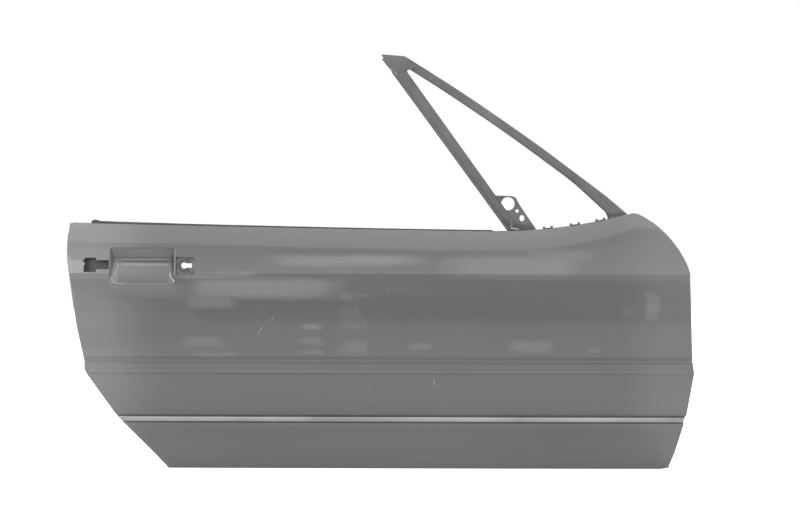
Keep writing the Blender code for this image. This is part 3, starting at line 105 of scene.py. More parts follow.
def buildFloor():
    deselect()
    bpy.ops.mesh.primitive_plane_add(size=stage["floorSize"], location=(stage["middleX"], 0, stage["floorZ"]))
    floor = bpy.context.object
    floor.name = "studioFloor"
    white = bpy.data.materials.new("floorWhite")
    white.use_nodes = True
    tree = white.node_tree
    seen = addNode(tree, "LightPath").outputs["Is Camera Ray"]
    glow = addNode(tree, "Math", {0: seen, 1: stage["seenFloor"]}, operation="MULTIPLY")
    pale = addNode(tree, "MapRange", {"Value": seen, "To Min": stage["bounceGrey"], "To Max": stage["floorGrey"]})
    fill(tree, tree.nodes["Principled BSDF"],
         {"Base Color": pale.outputs["Result"], "Roughness": stage["floorRough"],
          "Specular IOR Level": stage["floorShine"], "Emission Color": allGrey(1.0),
          "Emission Strength": glow.outputs[0]})
    floor.data.materials.append(white)


def buildCamera():
    cameraData = bpy.data.cameras.new("photoCamera")
    cameraData.lens = stage["lens"]
    cameraData.sensor_width = 36
    cameraData.clip_end = 200
    camera = bpy.data.objects.new("photoCamera", cameraData)
    scene.collection.objects.link(camera)
    camera.location = stage["camera"]
    turn = Matrix.Rotation(pi / 2, 3, "X") @ Matrix.Rotation(stage["roll"], 3, "Z")
    camera.rotation_euler = turn.to_euler()
    scene.camera = camera
    scene.view_settings.view_transform = "Standard"


def buildWorld():  # a soft horizon that the paint reflects, and plain white where the camera looks past the door
    world = bpy.data.worlds.new("studioWorld")
    scene.world = world
    world.use_nodes = True
    tree = world.node_tree
    toward = addNode(tree, "TexCoord").outputs["Generated"]
    height = addNode(tree, "SeparateXYZ", {0: toward}).outputs["Z"]
    lift = addNode(tree, "Math", {0: height, 1: 0.5, 2: 0.5}, operation="MULTIPLY_ADD")
    flat = addNode(tree, "Mapping", {"Vector": toward, "Scale": (1, 1, stage["cloudFlat"])})
    cloud = addNode(tree, "TexNoise", {"Vector": flat.outputs["Vector"], "Scale": stage["cloudScale"], "Detail": 3})
    sway = addNode(tree, "Math", {0: cloud.outputs["Fac"], 1: stage["cloud"], 2: -stage["cloud"] / 2},
                   operation="MULTIPLY_ADD")
    level = addNode(tree, "Math", {0: lift.outputs[0], 1: sway.outputs[0]}, operation="ADD")
    ramp = addNode(tree, "ValToRGB", {0: level.outputs[0]})
    stops = ramp.color_ramp.elements
    stops.new(stage["horizon"][-1][0])
    for stop, (position, grey) in zip(stops, stage["horizon"]):
        stop.position = position
        stop.color = allGrey(grey)
    seen = addNode(tree, "LightPath").outputs["Is Camera Ray"]
    fill(tree, tree.nodes["Background"], {0: blendColours(tree, seen, ramp.outputs[0], allGrey(1.0))})


def buildLights():
    for name, light in lights.items():
        lamp = bpy.data.lights.new(name, "AREA")
        lamp.energy = light["power"]
        lamp.shape = "RECTANGLE"
        lamp.size, lamp.size_y = light["size"]
        obj = bpy.data.objects.new(name, lamp)
        scene.collection.objects.link(obj)
        obj.location = light["place"]
        obj.rotation_euler = (Vector(light["aim"]) - Vector(light["place"])).to_track_quat("-Z", "Y").to_euler()


buildFloor()
buildCamera()
buildWorld()
buildLights()
print("stage set")

shell = {
    "reach": 1.288, "crestZ": 0.409, "crestOut": 0.105, "crestRise": 0.0008, "fullZ": 0.3,
    "beltZ": 0.501, "beltRiseRear": 0.0155, "beltRiseFront": 0.039, "beltLowX": -0.377, "beltDropIn": 0.043,
    "beltStraight": 0.44, "beltCurve": 2.6, "apexX": -0.092, "beltPowers": (1.25, 1.9),
    "bottomTuck": 0.0302, "tuckCurve": 2.85, "planRadius": 25.0, "widestX": -0.7,
    "creaseDrop": 0.011, "creaseDepth": 0.0033,
    "bandLow": 0.201, "bandHigh": 0.224, "bandProud": 0.0014,
    "grooveLow": 0.0975, "grooveHigh": 0.1095, "grooveDepth": 0.0028, "ramp": 0.004,
    "bottomZ": -0.0017, "cornerStart": -0.062, "cornerLift": 0.004, "cornerPower": 2.2,
    "sheet": 0.0009, "hemRadius": 0.0016, "hemLength": 0.009, "hemTurns": (45, 90, 135, 180),
    "rollRadius": 0.004, "rollTurn": radians(142), "rollLip": 0.012, "rollSteps": 7, "rollFirst": 52,
}
cup = {"rear": -1.199, "front": -1.0632, "top": 0.465, "floor": 0.4385, "bottom": 0.388, "depth": 0.02,
       "side": 0.015, "radius": 0.009, "rim": 0.0055, "ridge": 0.006, "soft": 0.045, "softEdge": 0.03,
       "softMiddle": 0.035, "swell": (1.15, 1.05), "underCurve": 1.35, "creaseFrom": 0.03, "creaseOver": 0.04,
       "creaseLeft": 0.3}
frontTop = {"share": 0.9, "up": (0, 0.016), "in": (0.068, -0.037), "knee": (0.013, -0.003), "tip": (0.007, 0.0005)}


def straightThrough(points):
    def value(key):
        for (k0, v0), (k1, v1) in zip(points, points[1:]):
            if key <= k1:
                break
        return mix(v0, v1, min(max((key - k0) / (k1 - k0), 0), 1))
    return value


def smoothThrough(points):
    slopes = []
    for i in range(len(points)):
        before = points[max(i - 1, 0)]
        after = points[min(i + 1, len(points) - 1)]
        slopes.append((after[1] - before[1]) / (after[0] - before[0]))

    def value(key):
        i = 0
        while i < len(points) - 2 and key > points[i + 1][0]:
            i += 1
        (k0, v0), (k1, v1) = points[i], points[i + 1]
        span = k1 - k0
        t = min(max((key - k0) / span, 0), 1)
        bend = t * (1 - t) * span * (slopes[i] * (1 - t) - slopes[i + 1] * t)
        return mix(v0, v1, ease(t)) + bend
    return value


rearLow = straightThrough([(0, 0.2145), (0.098, 0.118), (0.11, 0.106), (0.198, 0.043), (0.206, 0.0385),
                           (0.226, 0.038)])
rearHigh = smoothThrough([(0.226, 0.038), (0.3, 0.0215), (0.384, 0.0085), (0.453, 0), (0.516, 0.0008)])
frontLow = straightThrough([(0, -0.0205), (0.008, -0.0175), (0.03, -0.0092), (0.092, 0.0095), (0.105, 0.01),
                            (0.113, 0.0155), (0.2, 0.0306), (0.226, 0.0268), (0.409, 0.0214)])


def rearEdge(z):
    return -shell["reach"] + (rearLow(z) if z < 0.226 else rearHigh(z))


def beltLine(x):
    rear = max(0.0, (shell["beltLowX"] - x) / (shell["reach"] + shell["beltLowX"]))
    front = min(max(0.0, (x - shell["beltLowX"]) / (shell["apexX"] - shell["beltLowX"])), 1.0)
    rearPower, frontPower = shell["beltPowers"]
    return shell["beltZ"] + shell["beltRiseRear"] * rear ** rearPower + shell["beltRiseFront"] * front ** frontPower


rollRise = shell["rollRadius"] * (1 - cos(radians(shell["rollFirst"])))
beltApexZ = beltLine(shell["apexX"]) - rollRise


def frontCorner(t):  # the upright edge, then a small round on to the belt
    low = Vector((frontLow(shell["crestZ"]), shell["crestZ"]))
    tip = Vector((shell["apexX"], beltApexZ))
    knee = tip + Vector(frontTop["knee"])
    if t < frontTop["share"]:
        s = t / frontTop["share"]
        pullUp = low + Vector(frontTop["up"])
        pullIn = knee + Vector(frontTop["in"])
        return (1 - s) ** 3 * low + 3 * s * (1 - s) ** 2 * pullUp + 3 * s * s * (1 - s) * pullIn + s ** 3 * knee
    s = (t - frontTop["share"]) / (1 - frontTop["share"])
    pull = tip + Vector(frontTop["tip"])
    return (1 - s) ** 2 * knee + 2 * s * (1 - s) * pull + s * s * tip


def bottomEdge(x):
    start, lift = shell["cornerStart"], shell["cornerLift"]
    return shell["bottomZ"] + lift * max(0.0, (x - start) / (frontLow(lift) - start)) ** shell["cornerPower"]


def cupRamps(x, z):
    return ((x - cup["rear"]) / cup["side"], (cup["front"] - x) / cup["side"],
            (cup["top"] - z) / (cup["top"] - cup["floor"]), (z - cup["bottom"]) / (cup["floor"] - cup["bottom"]))


def softLeast(a, b, blend):
    return -blend * log(exp(-a / blend) + exp(-b / blend))


def cupInset(x, z):
    radius = cup["radius"]
    dx = min(x - cup["rear"], cup["front"] - x)
    dz = min(cup["top"] - z, z - cup["bottom"])
    if min(dx, dz) > 0 and dx < radius and dz < radius:
        return radius - hypot(radius - dx, radius - dz)
    return min(dx, dz)


def cupDrop(x, z):
    inset = cupInset(x, z)
    if inset <= 0:
        return 0.0
    rear, front, over, under = cupRamps(x, z)
    swellX, swellZ = cup["swell"]
    sides = sin(pi / 2 * min(rear, front, 1)) * swellX
    upright = softLeast(over * swellZ, min(under, 2) ** cup["underCurve"] * swellZ, cup["softMiddle"])
    least = softLeast(softLeast(sides, upright, cup["soft"]), inset / cup["rim"], cup["softEdge"])
    return cup["depth"] * max(0.0, least)


def creaseHollow(x, z):
    if z >= shell["crestZ"] or z <= shell["fullZ"]:
        return 0.0
    foot = shell["crestZ"] - shell["creaseDrop"]
    if z > foot:
        depth = (shell["crestZ"] - z) / shell["creaseDrop"]
    else:
        depth = ((z - shell["fullZ"]) / (foot - shell["fullZ"])) ** 2
    along = mix(cup["creaseLeft"], 1, ease((x - cup["front"] - cup["creaseFrom"]) / cup["creaseOver"]))
    return shell["creaseDepth"] * depth * along * (1 - ease(min(cupRamps(x, z)) + 0.5))


def bodyOut(x, z):  # inside the cup the crease is bridged
    inset = cupInset(x, z)
    if inset <= 0:
        return plainOut(x, z)
    share = (z - cup["bottom"]) / (cup["top"] - cup["bottom"])
    bridge = mix(plainOut(x, cup["bottom"]), plainOut(x, cup["top"]), share)
    return mix(plainOut(x, z), bridge, ease(inset / cup["ridge"]))


def plainOut(x, z):
    sag = (x - shell["widestX"]) ** 2 / (2 * shell["planRadius"])
    side = shell["crestOut"] - shell["crestRise"] - sag
    if z <= shell["fullZ"]:
        return side - shell["bottomTuck"] * ((shell["fullZ"] - z) / shell["fullZ"]) ** shell["tuckCurve"]
    if z <= shell["crestZ"]:
        rise = shell["crestRise"] * ease((z - shell["fullZ"]) / (shell["crestZ"] - shell["fullZ"]))
        return side + rise - creaseHollow(x, z)
    lean = (z - shell["crestZ"]) / (beltLine(x) - shell["crestZ"])
    drop = mix(lean ** shell["beltCurve"], lean, shell["beltStraight"])
    return shell["crestOut"] - shell["beltDropIn"] * drop - sag


def stepAt(z, low, high):
    return ease((z - low + shell["ramp"]) / shell["ramp"]) * ease((high + shell["ramp"] - z) / shell["ramp"])


def skinOut(x, z):
    band = stepAt(z, shell["bandLow"], shell["bandHigh"])
    groove = stepAt(z, shell["grooveLow"], shell["grooveHigh"])
    return bodyOut(x, z) + shell["bandProud"] * band - shell["grooveDepth"] * groove - cupDrop(x, z)


def steps(start, end, size):
    count = max(1, round((end - start) / size))
    return [mix(start, end, k / count) for k in range(count)]


def severalSteps(end, spans):  # spans are (start, size), each up to the next one's start
    starts = [start for start, size in spans] + [end]
    return [value for (start, size), stop in zip(spans, starts[1:]) for value in steps(start, stop, size)]


crestRear = rearEdge(shell["crestZ"])
crestFront = frontLow(shell["crestZ"])
rowZ = severalSteps(0.4085, [(0, 0.003), (0.006, 0.0075), (0.0935, 0.0008), (0.0975, 0.004), (0.1095, 0.0008),
                             (0.1135, 0.0085), (0.197, 0.0008), (0.201, 0.0058), (0.224, 0.0008), (0.228, 0.009),
                             (0.3, 0.007), (0.384, 0.0023), (0.398, 0.0013)]) + [0.4087]
rowT = severalSteps(1.0, [(0, 0.007), (0.05, 0.012), (0.62, 0.03)]) + [1.0]
columnX = severalSteps(crestFront, [(crestRear, 0.0065), (-1.205, 0.0018), (-1.178, 0.0068), (-1.083, 0.0018),
                                    (-1.056, 0.007), (-1.0, 0.016), (-0.4, 0.009), (-0.08, 0.005)])
columnX.append(crestFront)
uprightShare = 0.25
rowTotal = len(rowZ) + len(rowT)
columnTotal = len(columnX)
lowFanZ = 0.03  # the rows below this fan out from the lifted front corner


def outlinePoint(row, column):
    u = (columnX[column] - crestRear) / (crestFront - crestRear)
    if row < len(rowZ):
        z = rowZ[row]
        if row == 0:
            x = mix(rearEdge(0), frontLow(shell["cornerLift"]), u)
            return x, bottomEdge(x)
        x = mix(rearEdge(z), frontLow(z), u)
        return x, z + bottomEdge(x) * max(0.0, 1 - z / lowFanZ)
    t = rowT[row - len(rowZ)]
    slide = max(0.0, (u - uprightShare) / (1 - uprightShare)) ** 2
    top = beltLine(-shell["reach"]) - rollRise
    leftZ = mix(shell["crestZ"], top, t)
    topCornerX = rearEdge(beltLine(-shell["reach"]))
    lowLeft = Vector((crestRear, shell["crestZ"]))
    lowRight = Vector((crestFront, shell["crestZ"]))
    topLeft = Vector((topCornerX, beltLine(topCornerX) - rollRise))
    bottom = mix(lowLeft, lowRight, u)
    topX = bottom.x + (topCornerX - crestRear) * (1 - u) + (shell["apexX"] - crestFront) * slide
    upper = Vector((topX, beltLine(topX) - rollRise))
    leftBow = Vector((rearEdge(leftZ), leftZ)) - mix(lowLeft, topLeft, t)
    rightBow = frontCorner(t) - mix(lowRight, frontCorner(1), t)
    place = mix(bottom, upper, t) + leftBow * (1 - u) + rightBow * slide
    return place.x, place.y


def skinSpot(row, column):
    x, z = outlinePoint(row, column)
    return spot(x, skinOut(x, z), z)


skinGrid = [[skinSpot(r, c) for c in range(columnTotal)] for r in range(rowTotal)]
beltRow = skinGrid[-1]


def gridNormal(row, column):
    left = skinGrid[row][max(column - 1, 0)]
    right = skinGrid[row][min(column + 1, columnTotal - 1)]
    low = skinGrid[max(row - 1, 0)][column]
    high = skinGrid[min(row + 1, rowTotal - 1)][column]
    normal = (right - left).cross(high - low).normalized()
    return normal if normal.y < 0 else -normal


def rollSpot(column, turn, radius):
    here = beltRow[column]
    x, z = here.x - door["shiftX"], here.z + door["dropZ"]
    size = 0.002
    run = Vector((0, -(bodyOut(x, z) - bodyOut(x, z - size)), size)).normalized()
    normal = Vector((0, -run.z, run.y))
    if normal.z < 0:
        normal = -normal
    centre = here - normal * shell["rollRadius"]
    return centre + run * radius * sin(turn) + normal * radius * cos(turn)


def editMode():
    bpy.ops.object.mode_set(mode="EDIT")


def objectMode():
    bpy.ops.object.mode_set(mode="OBJECT")


def selectAll():
    bpy.ops.mesh.select_all(action="SELECT")


def faceOutward():
    selectAll()
    bpy.ops.mesh.normals_make_consistent(inside=False)
    objectMode()


def only(piece):
    deselect()
    piece.select_set(True)
    bpy.context.view_layer.objects.active = piece


def named(piece, name):
    piece.name = name
    piece.data.name = name
    return piece


def pick(kind, items, test):
    editMode()
    bpy.ops.mesh.select_mode(type=kind)
    bpy.ops.mesh.select_all(action="DESELECT")
    objectMode()
    for item in items:
        item.select = bool(test(item))
    editMode()


def applyAll(piece):
    only(piece)
    for modifier in list(piece.modifiers):
        bpy.ops.object.modifier_apply(modifier=modifier.name)


def thicken(piece, sheet):
    wall = piece.modifiers.new("wall", "SOLIDIFY")
    wall.thickness = sheet
    wall.offset = -1
    applyAll(piece)


def cleanMesh(piece, distance):
    only(piece)
    editMode()
    selectAll()
    bpy.ops.mesh.remove_doubles(threshold=distance)
    faceOutward()


def cutWith(piece, tool):
    cut = piece.modifiers.new("cut", "BOOLEAN")
    cut.object = tool
    cut.operation = "DIFFERENCE"
    cut.solver = "EXACT"
    applyAll(piece)
    bpy.data.objects.remove(tool)


def bevelPiece(piece, width, degrees):
    bevel = piece.modifiers.new("edges", "BEVEL")
    bevel.width = width
    bevel.segments = 2
    bevel.limit_method = "ANGLE"
    bevel.angle_limit = radians(degrees)
    bevel.use_clamp_overlap = True
    applyAll(piece)


def gridPiece(name, across, up):  # also gives each vertex with its column and row
    deselect()
    bpy.ops.mesh.primitive_grid_add(x_subdivisions=across, y_subdivisions=up, size=1)
    piece = named(bpy.context.object, name)
    return piece, [(vert, round((vert.co.x + 0.5) * across), round((vert.co.y + 0.5) * up))
                   for vert in piece.data.vertices]


def sweptPiece(name, rings):  # a bar through rings of points: a grid is rolled up and capped at both ends
    count = len(rings[0])
    piece, places = gridPiece(name, len(rings) - 1, count)
    for vert, i, j in places:
        vert.co = rings[i][j % count]
    cleanMesh(piece, 0.000001)
    editMode()
    selectAll()
    bpy.ops.mesh.fill_holes(sides=0)
    faceOutward()
    return piece


def prismPiece(name, outline, outLow, outHigh):  # a flat circle laid on an outline in x and z, then extruded
    deselect()
    bpy.ops.mesh.primitive_circle_add(vertices=len(outline), radius=1, fill_type="NGON")
    piece = named(bpy.context.object, name)
    for vert, (x, z) in zip(piece.data.vertices, outline):
        vert.co = spot(x, outLow, z)
    editMode()
    selectAll()
    bpy.ops.mesh.extrude_region_move(TRANSFORM_OT_translate={"value": (0, outLow - outHigh, 0)})
    faceOutward()
    return piece


def roundOutline(cx, cz, radiusX, radiusZ, count):
    turn = 2 * pi / count
    return [(cx + radiusX * cos(turn * i), cz + radiusZ * sin(turn * i)) for i in range(count)]


def alongGlass(x, z, section):
    return [spot(x + dx, glassLine(z) + out, z) for dx, out in section]


copied = {"merge": 0.00001, "flat": radians(0.6)}


def cadCopy(name, node):
    source = nodes[node]
    piece = source.copy()
    piece.data = source.data.copy()
    piece.parent = None
    named(piece, name)
    for key in list(piece.keys()):
        del piece[key]
    scene.collection.objects.link(piece)
    only(piece)
    editMode()
    selectAll()
    bpy.ops.mesh.remove_doubles(threshold=copied["merge"])
    bpy.ops.mesh.dissolve_limited(angle_limit=copied["flat"])
    objectMode()
    return piece


def settle(piece, slot, node, degrees, finish=None):
    only(piece)
    bpy.ops.object.shade_smooth_by_angle(angle=radians(degrees))
    piece.data.materials.clear()
    piece.data.materials.append(finishes[finish or slot])
    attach(piece, "root")
    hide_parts(node)


class Finish:
    def __init__(self, name):
        self.material = bpy.data.materials.new(name)
        self.material.use_nodes = True
        self.tree = self.material.node_tree
        self.coords = self.add("TexCoord").outputs["Object"]

    def add(self, kind, values={}, **settings):
        return addNode(self.tree, kind, values, **settings)

    def mapped(self, scale=(1, 1, 1), place=(0, 0, 0), turn=(0, 0, 0)):
        return self.add("Mapping", {"Vector": self.coords, "Scale": scale, "Location": place,
                                    "Rotation": turn}).outputs["Vector"]

    def noise(self, scale, detail=3.0, *mapping):
        return self.add("TexNoise", {"Vector": self.mapped(*mapping), "Scale": scale,
                                     "Detail": detail}).outputs["Fac"]

    def span(self, value, low, high, toLow=0.0, toHigh=1.0):
        return self.add("MapRange", {"Value": value, "From Min": low, "From Max": high, "To Min": toLow,
                                     "To Max": toHigh}, interpolation_type="SMOOTHSTEP").outputs["Result"]

    def pattern(self, place, *ends):  # a noise, stretched so that its low end gives 0 and its high end 1
        return self.span(self.noise(*place), *ends)

    def maths(self, operation, *values):
        result = values[0]
        for value in values[1:]:
            result = self.add("Math", {0: result, 1: value}, operation=operation).outputs[0]
        return result

    def apart(self, a, b):
        return self.add("Math", {0: self.maths("SUBTRACT", a, b)}, operation="ABSOLUTE").outputs[0]

    def near(self, points, wide):  # 1 on the line through the points, 0 further off than wide
        flat = self.mapped((1, 0, 1))
        gaps = []
        for (x0, z0), (x1, z1) in zip(points, points[1:]):
            along = Vector((x1 - x0, 0, z1 - z0))
            start = self.add("VectorMath", {0: flat, 1: (x0, 0, z0)}, operation="SUBTRACT").outputs["Vector"]
            part = self.add("VectorMath", {0: start, 1: along / along.length_squared}, operation="DOT_PRODUCT")
            part = self.add("Clamp", {"Value": part.outputs["Value"]}).outputs[0]
            foot = self.add("VectorMath", {0: along, "Scale": part}, operation="SCALE").outputs["Vector"]
            gaps.append(self.add("VectorMath", {0: start, 1: foot}, operation="DISTANCE").outputs["Value"])
        return self.span(self.maths("MINIMUM", *gaps), wide * 0.3, wide, 1.0, 0.0)

    def strongest(self, marks):
        return self.maths("MAXIMUM", *[self.maths("MULTIPLY", self.near(points, wide), amount)
                                       for amount, wide, points in marks])

    def axis(self, name):
        return self.add("SeparateXYZ", {0: self.coords}).outputs[name]

    def blend(self, factor, first, second):
        greys = [allGrey(value) if isinstance(value, float) else value for value in (first, second)]
        return blendColours(self.tree, factor, *greys)

    def bump(self, place, strength, distance):
        node = self.add("Bump", {"Height": self.noise(*place), "Strength": strength, "Distance": distance})
        self.set({"Normal": node.outputs["Normal"]})

    def set(self, values):
        fill(self.tree, self.tree.nodes["Principled BSDF"], values)


paint = {"grey": 0.054, "pale": 0.069, "scratchAndHighlightGrey": 0.42, "shadeGrey": 0.028, "sheenGrey": 0.17,
         "cloud": ((2, 3, (0.35, 1, 1.6)), 0.35, 0.68),
         "sway": ((0.05, (24, 3)), (0.016, (20, 4, (0.35, 1, 1), (0, 3, 1)))),
         "soft": ((0.3, 0.004), (0.4, 0.0024)),
         # painted side light: paler towards the rear and front edges and along the bottom: axis, from, to, strength
         # at from, strength at to
         "edges": (("X", -1.235, -1.06, 0.62, 0), ("X", -0.13, -0.01, 0, 0.3), ("Z", -0.385, -0.27, 0.32, 0)),
         "wipe": ((16, 4, (0.18, 1, 1.5), (4, 0, 2)), 0.3, 0.7, 0.75, 1.0),
         "hair": 0.14, "hairWide": (0.0015, 0.006),
         "hairNoise": (26, 2, (1, 1, 9), (0.3, 0, 0.2), (0, radians(24), 0)),
         "hairPatch": ((7, 2, (1, 1, 1), (3, 0, 1)), 0.6, 0.68),
         "inCup": 0.75, "cupX": -1.114, "cupHalf": (0.05, 0.056), "cupTop": (0.006, 0.038),
         "cupFoot": (0.002, 0.007),
         "rough": ((5, 4, (1, 1, 1), (1, 2, 0)), 0.3, 0.7, 0.3, 0.44), "bump": ((420, 2), 0.03, 0.0006),
         "coat": {"Coat Weight": 1.0, "Coat Roughness": 0.07}}
paintedReflections = (  # painted reflections, soft pale patches: middle x and z, half width, half height, strength
        (-0.863, -0.007, 0.15, 0.0197, 0.62), (-0.967, -0.034, 0.046, 0.0124, 0.42),
        (-0.689, 0.052, 0.142, 0.0103, 0.55), (-0.982, -0.119, 0.038, 0.0093, 0.3),
        (-0.963, -0.146, 0.038, 0.0046, 0.25), (-0.67, -0.129, 0.029, 0.0135, 0.34),
        (-0.761, -0.086, 0.023, 0.0054, 0.6), (-0.758, -0.117, 0.023, 0.0066, 0.28),
        (-0.758, -0.14, 0.025, 0.0041, 0.4), (-0.671, -0.083, 0.023, 0.0046, 0.32),
        (-0.681, -0.063, 0.017, 0.0186, 0.16), (-0.681, -0.022, 0.013, 0.0083, 0.4),
        (-0.66, -0.02, 0.021, 0.0041, 0.25), (-0.532, -0.129, 0.019, 0.0066, 0.36),
        (-0.34, 0.04, 0.13, 0.02, 0.4), (-0.95, 0.02, 0.075, 0.006, 0.5),
        (-1.1, -0.012, 0.08, 0.018, 0.34), (-1.117, 0.067, 0.062, 0.012, 0.45),
        (-0.046, -0.044, 0.017, 0.031, 0.6), (-0.299, -0.128, 0.038, 0.0103, 0.42),
        (-0.169, -0.136, 0.017, 0.005, 0.3), (-0.016, -0.129, 0.017, 0.0083, 0.22),
        (-0.094, -0.055, 0.008, 0.0103, 0.25), (-0.24, 0.063, 0.063, 0.0124, 0.3))
highlightsAndScratches = (  # thin pale marks, painted highlights on the handle cup and along the band's lower edge together with a few scratches: strength, width, and the points of each in x and z
    # painted highlights on the handle cup's curved walls, rims and floor
    (0.35, 0.0014, ((-1.1692, 0.0516), (-1.1684, 0.038), (-1.1727, 0.0267), (-1.1761, 0.0204))),
    (0.3, 0.0014, ((-1.181, 0.0142), (-1.1777, 0.0068), (-1.1709, 0.0031), (-1.1573, 0.0016))),
    (0.12, 0.0014, ((-1.1573, 0.0016), (-1.0633, 0.0016))),
    (0.75, 0.0015, ((-1.0577, 0.0244), (-1.0579, 0.0188), (-1.0531, 0.0125), (-1.0481, 0.0075))),
    (0.16, 0.0018, ((-1.0479, 0.0729), (-1.0479, 0.0206))),
    (0.14, 0.002, ((-1.1848, 0.0583), (-1.1827, 0.029))),
    (0.2, 0.0012, ((-1.1621, 0.0532), (-1.0642, 0.0532))),
    (0.2, 0.004, ((-1.16, 0.043), (-1.0654, 0.0422))),
    # scratches
    (0.3, 0.0012, ((-0.8727, -0.1038), (-0.8621, -0.0867))),
    (0.28, 0.0012, ((-0.8447, -0.0749), (-0.8399, -0.067))),
    (0.35, 0.0012, ((-0.5026, -0.1976), (-0.5009, -0.2092))),
    (0.14, 0.0012, ((-0.6685, -0.0506), (-0.6633, -0.0465), (-0.6602, -0.0527), (-0.6644, -0.0589),
                    (-0.656, -0.0672), (-0.6476, -0.0776))),
    (0.12, 0.0012, ((-0.5969, -0.0061), (-0.5975, -0.0194))),
    # painted highlight along the band's lower edge
    (0.1, 0.0014, ((-1.23, -0.1812), (-0.53, -0.1812))),
    (0.12, 0.0014, ((-0.91, -0.1812), (-0.64, -0.1812))),
    (0.07, 0.0014, ((-0.53, -0.1812), (0.03, -0.1812))))
paintedShadeLines = (  # the same for painted shade lines along the band's upper edge and inside the handle cup
    (0.5, 0.0034, ((-1.24, -0.159), (0.03, -0.159))),
    (0.45, 0.0013, ((-1.1621, 0.0493), (-1.0642, 0.0493))),
    (0.3, 0.0018, ((-1.1798, 0.0578), (-1.054, 0.0578))),
    (0.25, 0.0016, ((-1.0664, 0.0771), (-1.056, 0.0727), (-1.0508, 0.0614), (-1.0504, 0.0342))))


def bodyPaintFinish():
    finish = Finish("bodyPaint")
    maths, span, apart, pattern = finish.maths, finish.span, finish.apart, finish.pattern
    x, z = finish.axis("X"), finish.axis("Z")
    base = finish.blend(pattern(*paint["cloud"]), paint["grey"], paint["pale"])
    swayX, swayZ = [maths("ADD", place, maths("MULTIPLY", maths("SUBTRACT", finish.noise(*wave), 0.5), far))
                    for place, (far, wave) in zip((x, z), paint["sway"])]
    patches = []
    # painted reflections: soft pale patches that drift a little with noise
    for cx, cz, halfX, halfZ, amount in paintedReflections:
        softX, softZ = [share * half + least for half, (share, least) in zip((halfX, halfZ), paint["soft"])]
        across = span(apart(swayX, cx), halfX - softX, halfX + softX, amount, 0.0)
        up = span(apart(swayZ, cz), halfZ - softZ, halfZ + softZ, 1.0, 0.0)
        patches.append(maths("MULTIPLY", across, up))
    # painted light: paler towards the rear and front edges and along the bottom
    edges = [span(finish.axis(name), *ends) for name, *ends in paint["edges"]]
    # the painted reflections and the painted lighter edges, broken up by noise, pale the paint
    paintedSheen = maths("MULTIPLY", maths("MAXIMUM", *patches, *edges), pattern(*paint["wipe"]))
    sheened = finish.blend(paintedSheen, base, paint["sheenGrey"])

    hair = apart(finish.noise(*paint["hairNoise"]), 0.5)  # hairline scratches in loose patches
    thin = maths("SUBTRACT", 1.0, span(hair, *paint["hairWide"]))
    scratches = maths("MULTIPLY", thin, pattern(*paint["hairPatch"]), paint["hair"])
    scratched = finish.blend(scratches, sheened, paint["scratchAndHighlightGrey"])

    # painted shade on the handle cup's lower ramp, darkest just above its bottom lip
    across = span(apart(x, paint["cupX"]), *paint["cupHalf"], 1.0, 0.0)
    inCup = maths("MULTIPLY", across, span(z, *paint["cupTop"], 1.0, 0.0), span(z, *paint["cupFoot"]),
                  paint["inCup"])
    # painted shade: the dark lines and the cup's lower ramp are darkened towards shadeGrey
    shade = maths("MAXIMUM", finish.strongest(paintedShadeLines), inCup)
    shaded = finish.blend(shade, scratched, paint["shadeGrey"])
    # painted highlights and scratches, laid on in a pale grey
    finish.set({"Base Color": finish.blend(finish.strongest(highlightsAndScratches), shaded, paint["scratchAndHighlightGrey"]),
                "Roughness": pattern(*paint["rough"]), **paint["coat"]})
    finish.bump(*paint["bump"])
    return finish.material


framePaint = {"cloud": ((9, 4), 0.35, 0.7, 0.0, 0.6), "grain": ((620, 3), 0.3, 0.7, 0.0, 0.4),
              "greys": (0.055, 0.105), "wornGrey": 0.34, "darkGrey": 0.022, "lightGrey": 0.42,
              "speck": ((190, 4, (1, 1, 1), (5, 0, 0)), 0.66, 0.72),
              "worn": ((30, 3, (1, 1, 1), (0, 4, 0)), 0.5, 0.66, 0.0, 0.6),
              "rough": ((22, 4), 0.3, 0.7, 0.38, 0.58), "bump": ((260, 3), 0.07, 0.0008),
              "coat": {"Coat Weight": 0.1, "Coat Roughness": 0.3}}
frameLight = ((0.25, 0.0014, ((-0.337, 0.1379), (-0.3386, 0.123))),
              (0.85, 0.0016, ((-0.3384, 0.1221), (-0.3231, 0.1197))),
              (0.5, 0.0013, ((-0.5959, 0.4657), (-0.5926, 0.4626))),
              (0.5, 0.0013, ((-0.5857, 0.4585), (-0.5828, 0.4534))))
# darker strokes where the post and the bar meet the belt
frameDark = ((0.7, 0.006, ((-0.1385, 0.1485), (-0.1038, 0.1525))),
             (0.6, 0.01, ((-0.3486, 0.1372), (-0.3323, 0.123), (-0.2997, 0.123))))


def framePaintFinish():
    finish = Finish("framePaint")
    pattern, blend = finish.pattern, finish.blend
    tone = finish.maths("ADD", pattern(*framePaint["cloud"]), pattern(*framePaint["grain"]))
    worn = finish.maths("MULTIPLY", pattern(*framePaint["speck"]), pattern(*framePaint["worn"]))
    rubbed = blend(worn, blend(tone, *framePaint["greys"]), framePaint["wornGrey"])
    darkened = blend(finish.strongest(frameDark), rubbed, framePaint["darkGrey"])
    finish.set({"Base Color": blend(finish.strongest(frameLight), darkened, framePaint["lightGrey"]),
                "Roughness": pattern(*framePaint["rough"]), **framePaint["coat"]})
    finish.bump(*framePaint["bump"])
    return finish.material


